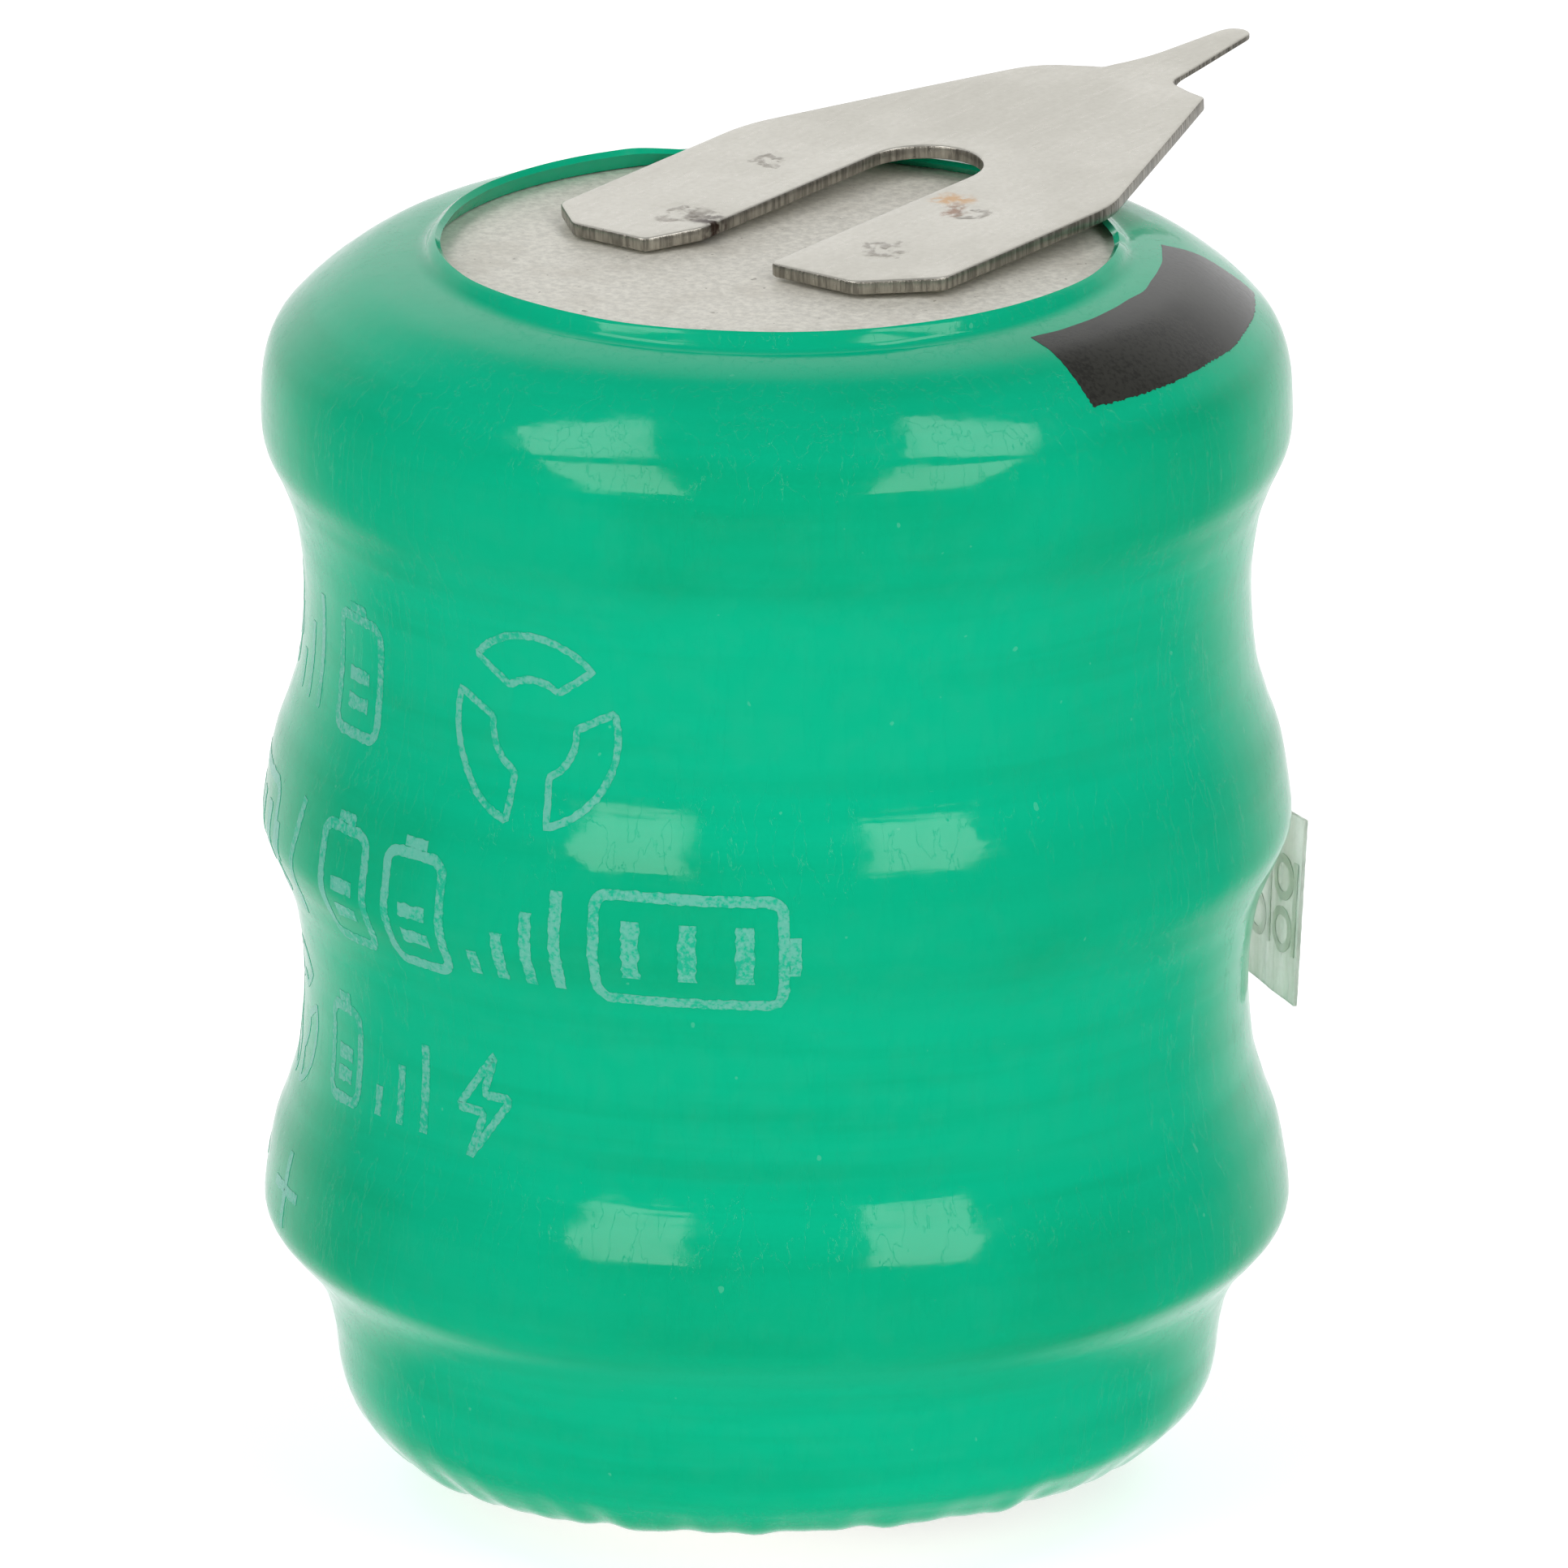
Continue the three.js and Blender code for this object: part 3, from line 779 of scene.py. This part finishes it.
def tag_loop(shoulder, end):
    """Fork outline, anticlockwise from the long leg, with the corners the punch leaves."""
    left, right = TAG_CENTRE - TAG_HALF_WIDTH, TAG_CENTRE + TAG_HALF_WIDTH
    slot_left, slot_right = SLOT_CENTRE - SLOT_RADIUS, SLOT_CENTRE + SLOT_RADIUS
    slot = arc((SLOT_CENTRE, SLOT_END), SLOT_RADIUS, 180, 0, 16)
    tip = arc((TAG_CENTRE, end - PIN_TIP_RADIUS), PIN_TIP_RADIUS, 0, 180, 8)
    parts = [
        [(left + 0.8, LONG_LEG, 0.1), (slot_left - 0.4, LONG_LEG, 0.1)],
        [(slot_left, LONG_LEG + 0.95, 0.15)],
        [(x, y, 0.08) for x, y in slot],
        [(slot_right, SHORT_LEG + 0.1, 0.1), (slot_right + 0.1, SHORT_LEG, 0.1)],
        [(right - 1.05, SHORT_LEG, 0.15), (right, SHORT_LEG + 0.95, 0.15), (right, TAPER_START, 0.4)],
        [(TAG_CENTRE + 1.54, shoulder, 0.06), (TAG_CENTRE + 0.66, shoulder + 0.28, 0.12)],
        [(TAG_CENTRE + 0.52, shoulder + 1.2, 0.4)],
        [(x, y, 0.06) for x, y in tip],
        [(TAG_CENTRE - 0.4, shoulder + 1.1, 0.6), (TAG_CENTRE - 0.66, shoulder + 0.3, 0.6)],
        [(TAG_CENTRE - 1.64, shoulder - 0.15, 0.9), (left, TAPER_START, 0.5)],
        [(left, LONG_LEG + 0.67, 0.12)],
    ]
    corners = [corner for part in parts for corner in part]
    return rounded([c[:2] for c in corners], [c[2] for c in corners])


def tag_relief(x, y, height, shoulder):
    """Weld dents, uneven thin strip, and the coined pin with its groove at the root and thin blade."""
    sheet = 0.010 * np.sin(0.9 * x + 0.5) * np.sin(0.55 * y + 1.0)
    for (weld_x, weld_y), ring in zip(WELDS, WELD_RINGS):
        away = np.hypot(x - weld_x, y - weld_y)
        dent = np.exp(-(((away - ring) / 0.1) ** 2)) + np.exp(-((away / 0.3) ** 2))
        sheet = sheet - WELD_DEPTH * dent
    root = y - shoulder - 0.06 - 0.12 * (TAG_CENTRE + 1.5 - x)
    sheet = sheet - 0.022 * np.exp(-((root / 0.09) ** 2))
    return sheet + PIN_THINNING * step(y, shoulder + 0.15, shoulder + 0.6) * (1 - height / TAG_THICKNESS)


def tag_pose(tilt, turned_over):
    """Places a flat tag on its end of the stack, tilted up from the ends of its legs."""

    def pose(points):
        x, y, z = points.T
        along = y - TAG_REST
        forward = along * math.cos(tilt) - z * math.sin(tilt)
        upward = along * math.sin(tilt) + z * math.cos(tilt)
        lifted = np.column_stack([x, TAG_REST + forward, TAG_LIFT + upward])
        if turned_over:
            return lifted * (-1, 1, -1) + (0, 0, STACK_BOTTOM)
        return lifted + (0, 0, STACK_TOP)

    return pose


def nugget(x, y, tilt, turned_over):
    """Weld nugget between a tag and the cell face: a waisted column fused at both ends."""
    height = (y - TAG_REST) * math.tan(tilt) + TAG_LIFT + 0.05
    outline = [(0, 0), (0.4, 0), (0.36, 0.01)]
    outline += [(0.3, height / 2), (0.34, height - 0.01), (0.36, height), (0, height)]
    piece = turned("nugget", outline, 24)
    move = np.array([x, y, STACK_TOP]) * MM
    for vertex in piece.data.vertices:
        vertex.co += Vector(move)
        if turned_over:
            vertex.co = Vector((-vertex.co.x, vertex.co.y, -vertex.co.z))
    if turned_over:
        face_out(piece)
    return piece


def make_tag(name, node, tilt, turned_over, shoulder):
    high = box_mm(node)[1]
    tip = TAG_REST + (high[1] - TAG_REST) / math.cos(tilt)

    def relief(x, y, height):
        return tag_relief(x, y, height, shoulder)

    tag = plate(name, tag_loop(shoulder, tip), TAG_THICKNESS, relief, WELDS, tag_pose(tilt, turned_over))
    return joined([tag] + [nugget(x, y, tilt, turned_over) for x, y in WELDS])


def joined(pieces):
    """One piece out of several."""
    work = bmesh.new()
    for piece in pieces:
        work.from_mesh(piece.data)
    work.to_mesh(pieces[0].data)
    work.free()
    for piece in pieces[1:]:
        bpy.data.objects.remove(piece)
    sharpen(pieces[0], 40)
    return pieces[0]


LINK_SUNK = 0.02


def make_link(name, node):
    """Flat strip welded between a lid and the next can."""
    low, high = box_mm(node)
    length, width, thickness = high - low
    straight = (length - width) / 2
    loop = arc((straight, 0), width / 2, -90, 90, 24)
    loop += arc((-straight, 0), width / 2, 90, 270, 24)
    spots = [(-3, 0.7), (-3, -0.7), (3, 0.7), (3, -0.7)]

    def relief(x, y, _):
        dents = sum(np.exp(-((np.hypot(x - a, y - b) / 0.25) ** 2)) for a, b in spots)
        return -LINK_SUNK * dents

    def pose(points):
        return points + (0, 0, low[2] + LINK_SUNK)

    return plate(name, loop, thickness - LINK_SUNK, relief, spots, pose)


# ---- cells ----

# Outlines are (radius, depth below the cell's top).


def quarter(centre, size, steps):
    """Quarter ellipse, in (radius, depth), from straight up to straight out."""
    angles = np.linspace(0, math.pi / 2, steps + 1)
    return [(centre[0] + size[0] * math.sin(a), centre[1] - size[1] * math.cos(a)) for a in angles]


def can_outline():
    crimp = catmull([(CAN_RADIUS, 2.5), (7.72, 2.7), (7.55, 2.96), (7.02, 3.52)], 5)
    crimp = [tuple(point) for point in crimp]
    rim = arc((6.92, 3.43), 0.1, 40, 200, 5)
    crimp_inside = [(7.35, 2.82), (7.44, 2.62), (CAN_RADIUS - 0.3, 2.45)]
    base = quarter((CAN_RADIUS - 2.25, 2.1), (2.25, 2.1), 18)
    inner = quarter((CAN_RADIUS - 2.25, 2.1), (1.95, 1.8), 12)[::-1]
    return [(0, 0), (4.9, 0)] + base + crimp + rim + crimp_inside + inner + [(0, 0.3)]


def lid_outline():
    corner = quarter((5.4, CELL_HEIGHT - 1.2), (1.2, -1.2), 12)
    inner = quarter((5.4, CELL_HEIGHT - 1.2), (0.95, -0.95), 8)[::-1]
    flange = [(6.6, 3.28), (6.66, 3.16), (6.96, 2.9), (7.02, 2.78), (7.02, 1.42), (6.98, 1.36)]
    back = [(6.8, 1.36), (6.77, 1.42), (6.77, 2.72), (6.72, 2.8), (6.4, 3.08), (6.35, 3.2)]
    face = [(0, CELL_HEIGHT), (4.9, CELL_HEIGHT)]
    return face + corner + flange + back + inner + [(0, CELL_HEIGHT - 0.25)]


def gasket_outline():
    outer = [(6.72, 1.17), (7.06, 1.17), (7.3, 1.55), (7.36, 1.95), (7.43, 2.4), (7.36, 2.68)]
    lip = [(6.78, 3.3), (6.74, 3.4), (6.74, 3.7), (6.63, 3.7), (6.63, 3.3)]
    return outer + lip + [(6.9, 3.04), (7.05, 2.86), (7.05, 1.35), (6.72, 1.33)]


def pellet_outline(top, bottom, edge):
    upper = quarter((6.2 - edge, top + edge), (edge, edge), 6)
    lower = quarter((6.2 - edge, bottom - edge), (edge, -edge), 6)[::-1]
    return [(0, top)] + upper + lower + [(0, bottom)]


def basket_outline(base, rim, direction):
    """Gauze cup round a pellet. Direction is +1 where the cup opens downwards."""
    outer = quarter((5.87, base + 0.4 * direction), (0.42, 0.4 * direction), 8)
    inner = quarter((5.87, base + 0.4 * direction), (0.35, 0.33 * direction), 8)[::-1]
    return [(0, base)] + outer + [(6.29, rim), (6.22, rim)] + inner + [(0, base + 0.07 * direction)]


def spring_outline():
    upper = [(1.0, 4.93), (1.4, 4.95), (2.4, 5.1), (3.6, 5.34), (4.6, 5.55), (5.08, 5.6)]
    return upper + [(r - 0.02, depth + 0.13) for r, depth in upper[::-1]]


CELL_PIECES = {
    "can": (can_outline, "nickel_can", "nickel"),
    "positive_gauze": (lambda: basket_outline(0.33, 2.0, 1), "nickel_gauze", "gauze"),
    "positive_pellet": (lambda: pellet_outline(0.42, 2.4, 0.36), "positive_mass", "positive"),
    "separator": (lambda: pellet_outline(2.43, 2.69, 0.06), "separator_felt", "felt"),
    "negative_pellet": (lambda: pellet_outline(2.72, 4.77, 0.25), "negative_mass", "negative"),
    "negative_gauze": (lambda: basket_outline(4.86, 3.32, -1), "nickel_gauze", "gauze"),
    "contact_spring": (spring_outline, "spring_steel", "spring"),
    "gasket": (gasket_outline, "gasket_nylon", "nylon"),
    "lid": (lid_outline, "nickel_lid", "nickel"),
}


# ---- looks ----


def grained(name, colour, metallic, roughness, grain, relief, mottle):
    """A finish with broad mottling, fine grain in its colour and roughness, and grain relief."""
    look = Look(name)
    point = look.millimetres()
    broad = look.noise(point, 0.7, 3)
    fine = look.noise(point, grain, 4, 0.65)
    dark = tuple(c * (1 - mottle) ** 2 for c in colour[:3]) + (1,)
    light = tuple(min(1, c * (1 + mottle)) for c in colour[:3]) + (1,)
    both = look.math("MULTIPLY_ADD", broad, 0.45, look.times(fine, 0.55))
    look.set(
        Base_Color=look.mix(look.ramp(both, 0.32, 0.68), dark, light),
        Roughness=look.ramp(fine, 0.3, 0.7, roughness - 0.08, roughness + 0.08),
        Normal=look.bump(fine, relief * MM),
        Metallic=metallic,
    )
    return look


def nickel_look():
    """Satin nickel plate with fine grain, faint scuffs, dull patches and small dark pits."""
    look = Look("nickel plate")
    point = look.millimetres()
    grain = look.noise(point, 8.0, 5, 0.7)
    broad = look.noise(point, 0.8, 4)
    scuffs = look.noise(look.vector("MULTIPLY", point, (0.5, 5.0, 1.0)), 2.2, 3)
    pits = look.ramp(look.noise(point, 5.2, 2), 0.7, 0.76)
    tone = look.mix(look.ramp(grain, 0.3, 0.7), rgb(208, 205, 195), rgb(238, 235, 225))
    tone = look.mix(look.ramp(broad, 0.48, 0.72, 0.0, 0.4), tone, rgb(194, 188, 175))
    tone = look.mix(look.times(pits, 0.6), tone, rgb(122, 112, 98))
    worn = look.math("MULTIPLY_ADD", scuffs, 0.4, look.times(grain, 0.6))
    look.set(
        Base_Color=tone,
        Metallic=0.2,
        Roughness=look.ramp(worn, 0.3, 0.7, 0.4, 0.54),
        Specular_IOR_Level=0.3,
        Normal=look.bump(grain, 0.0035 * MM, look.bump(scuffs, 0.002 * MM)),
    )
    return look


# Place, reach, screen colour and strength of the burns by one weld and the stains by another.
STAINS = [
    ((-1.26, -0.04), 0.42, (52, 34, 24), 1.0),
    ((-1.6, 0.12), 0.42, (112, 102, 90), 0.75),
    ((1.2, 2.86), 0.42, (206, 158, 98), 0.85),
    ((1.5, 2.4), 0.36, (140, 92, 56), 0.8),
]


def tag_look(name, turned_over):
    """Smooth rolled strip with weld rings, and side faces painted darker as shade, with real shear
    streaks in them. The upper tag also has stains.
    """
    look = Look(name)
    point = look.millimetres()
    x, y, _ = look.split(point)
    flat = look.join(x, y, 0.0)
    rolled = look.noise(look.vector("MULTIPLY", point, (6.0, 0.35, 2.0)), 2.6, 4, 0.6)
    fine = look.noise(point, 11.0, 3)
    broad = look.noise(point, 0.35, 2)
    tone = look.mix(look.ramp(broad, 0.35, 0.65), rgb(206, 203, 192), rgb(219, 216, 206))
    tone = look.mix(look.ramp(fine, 0.35, 0.75, 0.0, 0.22), tone, rgb(192, 189, 178))

    # Painted shade: upright faces are painted darker than the top, for the dark reflections they show,
    # and the shear noise adds real streaks.
    upright = look.split(look.add("NewGeometry").outputs["True Normal"])["Z"]
    side = look.ramp(look.math("ABSOLUTE", upright), 0.35, 0.85, 1.0, 0.0)
    shear = look.noise(look.vector("MULTIPLY", point, (9.0, 9.0, 0.8)), 1.5, 3)
    side_shade_and_streaks = look.mix(look.ramp(shear, 0.35, 0.65), rgb(84, 78, 68), rgb(150, 144, 132))
    tone = look.mix(look.times(side, 0.85), tone, side_shade_and_streaks)

    wobble = look.add("TexNoise", Vector=point, Scale=2.4, Detail=3.0).outputs["Color"]
    drift = look.vector("MULTIPLY", look.vector("SUBTRACT", wobble, (0.5, 0.5, 0.5)), (0.8, 0.8, 0.0))
    shifted = look.vector("ADD", flat, drift)
    mirror = -1 if turned_over else 1
    marks = None
    for (weld_x, weld_y), radius in zip(WELDS, WELD_RINGS):
        away = look.vector("DISTANCE", shifted, (weld_x * mirror, weld_y, 0.0))
        off_ring = look.math("ABSOLUTE", look.math("SUBTRACT", away, radius * 0.75))
        ring = look.ramp(off_ring, 0.02, 0.12, 1.0, 0.0)
        marks = ring if marks is None else look.math("MAXIMUM", marks, ring)
    marks = look.times(marks, look.ramp(look.noise(point, 4.5, 2), 0.36, 0.56))
    tone = look.mix(look.times(marks, 0.6), tone, rgb(132, 123, 112))
    if not turned_over:
        for at, reach, colour, strength in STAINS:
            stain = look.ramp(look.vector("DISTANCE", shifted, (*at, 0.0)), 0.1, reach, 1.0, 0.0)
            stain = look.times(stain, look.ramp(look.noise(point, 5.0, 3), 0.36, 0.54))
            tone = look.mix(look.times(stain, strength), tone, rgb(*colour))

    normal = look.bump(rolled, 0.0008 * MM)
    normal = look.bump(look.times(marks, look.noise(point, 9.0, 2)), 0.02 * MM, normal)
    normal = look.bump(look.times(side, shear), 0.02 * MM, normal)
    worn = look.math("MULTIPLY_ADD", rolled, 0.6, look.times(fine, 0.4))
    look.set(
        Base_Color=tone,
        Metallic=0.7,
        Roughness=look.ramp(worn, 0.3, 0.7, 0.26, 0.36),
        Normal=normal,
    )
    return look


def sleeve_look():
    """Glossy green film: painted shade makes it darker on the bulges, where its radius is largest, with
    faint hoops, specks and hairlines.
    """
    look = Look("green shrink film")
    point = look.millimetres()
    x, y, _ = look.split(point)
    radius = look.vector("LENGTH", look.join(x, y, 0.0))
    # Painted shade: the film is painted darker where its radius is largest, on the bulges of the cells.
    bulge_shade = look.ramp(radius, 7.45, 7.85)
    hoop = look.noise(look.vector("MULTIPLY", point, (0.12, 0.12, 1.9)), 1.0, 3)
    broad = look.noise(point, 0.22, 2)
    fine = look.noise(point, 9.0, 3)
    tone = look.mix(bulge_shade, rgb(0, 178, 133), rgb(0, 167, 121))
    tone = look.mix(look.ramp(hoop, 0.4, 0.72, 0.0, 0.38), tone, rgb(0, 154, 108))
    tone = look.mix(look.ramp(broad, 0.35, 0.65, 0.0, 0.4), tone, rgb(0, 183, 140))
    tone = look.mix(look.ramp(fine, 0.45, 0.8, 0.0, 0.15), tone, rgb(10, 182, 138))
    specks = look.ramp(look.noise(point, 4.6, 1, 0.4), 0.79, 0.815)
    tone = look.mix(look.times(specks, 0.22), tone, rgb(120, 205, 175))
    hair = look.noise(look.vector("MULTIPLY", point, (2.0, 2.0, 0.25)), 1.6, 4)
    hair = look.ramp(look.math("ABSOLUTE", look.math("SUBTRACT", hair, 0.5)), 0.0, 0.006, 1.0, 0.0)
    peel = look.noise(point, 1.3, 2)
    normal = look.bump(peel, 0.006 * MM)
    normal = look.bump(hoop, 0.012 * MM, normal)
    normal = look.bump(hair, 0.0012 * MM, normal)
    normal = look.bump(fine, 0.0006 * MM, normal)
    smears = look.math("MAXIMUM", look.noise(point, 2.4, 3), look.times(specks, 0.9))
    look.set(
        Base_Color=tone,
        Roughness=look.ramp(smears, 0.35, 0.75, 0.07, 0.17),
        Normal=normal,
        IOR=1.36,
    )
    return look


def ink_look(name, thin, full, roughness):
    """Screen-printed ink, thinner in places."""
    look = Look(name)
    point = look.millimetres()
    dots = look.noise(point, 13.0, 2)
    broad = look.noise(point, 1.1, 2)
    cover = look.math("MULTIPLY_ADD", broad, 0.4, look.times(dots, 0.6))
    look.set(
        Base_Color=look.mix(look.ramp(cover, 0.38, 0.56), thin, full),
        Roughness=look.ramp(dots, 0.3, 0.7, roughness, roughness + 0.12),
        Normal=look.bump(dots, 0.0015 * MM),
        IOR=1.36,
    )
    return look


def label_look(name, thin, full, passed):
    """Thin silvery film, slightly crinkled, that lets light through."""
    look = Look(name)
    point = look.millimetres()
    crinkle = look.noise(look.vector("MULTIPLY", point, (2.2, 2.2, 0.3)), 1.4, 4)
    fine = look.noise(point, 10.0, 3)
    tone = look.mix(look.ramp(crinkle, 0.35, 0.65), thin, full)
    tone = look.mix(look.ramp(fine, 0.4, 0.75, 0.0, 0.3), tone, thin)
    look.set(
        Base_Color=tone,
        Roughness=look.ramp(fine, 0.3, 0.7, 0.28, 0.45),
        Normal=look.bump(crinkle, 0.03 * MM, look.bump(fine, 0.002 * MM)),
        Transmission_Weight=passed,
        IOR=1.15,
    )
    return look


def gauze_look():
    """Woven nickel wire."""
    look = Look("nickel gauze")
    point = look.millimetres()
    wave = {"Vector": point, "Scale": 1.6, "Distortion": 0.15}
    warp, weft, upright = (
        look.add("TexWave", {"bands_direction": axis}, **wave).outputs["Fac"] for axis in "XYZ"
    )
    weave = look.math("MAXIMUM", look.times(warp, weft), look.times(upright, 0.8))
    look.set(
        Base_Color=look.mix(look.ramp(weave, 0.1, 0.6), rgb(62, 62, 60), rgb(176, 176, 172)),
        Metallic=1.0,
        Roughness=look.ramp(weave, 0.1, 0.8, 0.65, 0.38),
        Normal=look.bump(weave, 0.05 * MM),
    )
    return look


LOOKS = {
    "nickel": nickel_look(),
    "gauze": gauze_look(),
    "positive": grained("nickel hydroxide", rgb(60, 74, 64), 0.0, 0.85, 9.0, 0.05, 0.25),
    "negative": grained("hydride powder", rgb(62, 62, 66), 0.3, 0.75, 12.0, 0.05, 0.25),
    "felt": grained("separator felt", rgb(232, 230, 220), 0.0, 0.92, 6.0, 0.06, 0.05),
    "spring": grained("spring steel", rgb(186, 187, 183), 1.0, 0.34, 9.0, 0.003, 0.05),
    "nylon": grained("sealing nylon", rgb(44, 45, 47), 0.0, 0.5, 10.0, 0.006, 0.15),
    "strip": grained("link strip", rgb(200, 198, 190), 1.0, 0.34, 10.0, 0.003, 0.05),
}


# ---- the object ----


def build():
    for cell in CELLS:
        for part, (outline, slot, look) in CELL_PIECES.items():
            node = f"cell_{cell}_{part}"
            piece = turned(f"visual_{node}", in_cell(cell, outline()))
            place(piece, LOOKS[look], slot, node)
    for node in ("cell_link_upper", "cell_link_lower"):
        place(make_link(f"visual_{node}", node), LOOKS["strip"], "nickel_strip", node)

    upper = make_tag("solder_tag_positive", "positive_tag", POSITIVE_TILT, False, POSITIVE_SHOULDER)
    place(upper, tag_look("solder tag, welded", False), "tag_metal", "positive_tag")
    lower = make_tag("solder_tag_negative", "negative_tag", NEGATIVE_TILT, True, NEGATIVE_SHOULDER)
    place(lower, tag_look("solder tag, lower", True), "tag_metal", "negative_tag")

    place(make_sleeve(), sleeve_look(), "sleeve_film", "sleeve")
    pale = ink_look("pale ink", rgb(24, 176, 138), rgb(96, 182, 160), 0.16)
    place(make_print(), pale, "sleeve_film")
    dark = ink_look("dark ink", rgb(40, 40, 37), rgb(52, 52, 48), 0.12)
    place(make_polarity_band(), dark, "sleeve_film")

    film = label_look("label film", rgb(214, 222, 208), rgb(250, 252, 246), 0.72)
    place(make_label(), film, "label_film", "label")
    ink = label_look("label ink", rgb(240, 246, 236), rgb(252, 253, 250), 0.9)
    place(make_label_marks(), ink, "label_film")


# ---- studio ----

FLOOR_GAP = 0.06
FLOOR_SIZE = 5.0
PANEL_DISTANCE = 0.8
PANEL_RISE = math.radians(45)
PANEL_RADIANCE = 3.8
FLOOR_GLOW = 0.6
# How far a direction points at the camera where the white ends, and where it is dim.
WHITE_FROM, DIM_FROM = -0.92, -0.36
WHITE_SIDE, DIM_SIDE = 1.02, 0.13


def make_camera():
    lens = bpy.data.cameras.new("camera")
    lens.sensor_width = 36
    lens.lens = LENS
    lens.clip_start = 0.01
    lens.clip_end = 20
    lens.dof.use_dof = False
    camera = added("camera", lens)
    aside = TOWARDS_CAMERA * CAMERA_DISTANCE + IMAGE_RIGHT * CAMERA_ASIDE
    camera.location = Vector((aside + np.array([0, 0, STACK_TOP + CAMERA_HEIGHT])) * MM)
    camera.rotation_euler = (math.pi / 2 - CAMERA_PITCH, 0, VIEW_AZIMUTH)
    bpy.context.scene.camera = camera


def make_floor():
    half = FLOOR_SIZE / 2
    height = cad_low.z - FLOOR_GAP * MM
    mesh = bpy.data.meshes.new("floor")
    corners = [(-half, -half), (half, -half), (half, half), (-half, half)]
    mesh.from_pydata([(x, y, height) for x, y in corners], [], [(0, 1, 2, 3)])
    floor = added("floor", mesh)
    look = Look("pale floor")
    point = look.add("TexCoord").outputs["Object"]
    cloud = look.ramp(look.noise(point, 40.0, 2), 0.3, 0.7)
    look.set(Base_Color=look.mix(cloud, rgb(228, 228, 228), rgb(232, 232, 232)), Roughness=0.9)
    look.set(Specular_IOR_Level=0.0, Emission_Color=(1, 1, 1, 1), Emission_Strength=FLOOR_GLOW)
    paint(floor, look)
    floor.visible_glossy = False


def make_panel(name, left, right, low, high):
    """Soft panel facing the object from above the camera, its sides in shares of its distance."""
    forward = TOWARDS_CAMERA * math.cos(PANEL_RISE) + np.array([0, 0, math.sin(PANEL_RISE)])
    upward = np.array([0, 0, math.cos(PANEL_RISE)]) - TOWARDS_CAMERA * math.sin(PANEL_RISE)
    middle = forward + IMAGE_RIGHT * (left + right) / 2 + upward * (low + high) / 2
    light = bpy.data.lights.new(name, "AREA")
    light.shape = "RECTANGLE"
    light.size = PANEL_DISTANCE * (right - left)
    light.size_y = PANEL_DISTANCE * (high - low)
    light.energy = PANEL_RADIANCE * math.pi * light.size * light.size_y
    panel = added(name, light)
    panel.location = Vector(middle * PANEL_DISTANCE)
    panel.rotation_euler = (math.pi / 2 - PANEL_RISE, 0, VIEW_AZIMUTH)
    panel.visible_camera = False


def make_lights():
    """Two windows, each with a gap across it."""
    for side, (left, right) in {"left": (-1.05, -0.4), "right": (0.4, 1.05)}.items():
        for part, (low, high) in {"lower": (-0.58, 0.23), "upper": (0.42, 1.0)}.items():
            make_panel(f"panel_{side}_{part}", left, right, low, high)


def make_world():
    """White room, dim on the camera's side."""
    world = bpy.data.worlds.new("studio")
    bpy.context.scene.world = world
    world.use_nodes = True
    nodes = Nodes(world.node_tree)
    direction = nodes.add("TexCoord").outputs["Generated"]
    facing = nodes.vector("DOT_PRODUCT", direction, Vector(TOWARDS_CAMERA))
    strength = nodes.ramp(facing, WHITE_FROM, DIM_FROM, WHITE_SIDE, DIM_SIDE)
    background = nodes.add("Background", Color=(1, 1, 1, 1), Strength=strength)
    nodes.add("OutputWorld", Surface=background.outputs[0])


build()
make_camera()
make_floor()
make_lights()
make_world()
bpy.context.scene.view_settings.view_transform = "Standard"
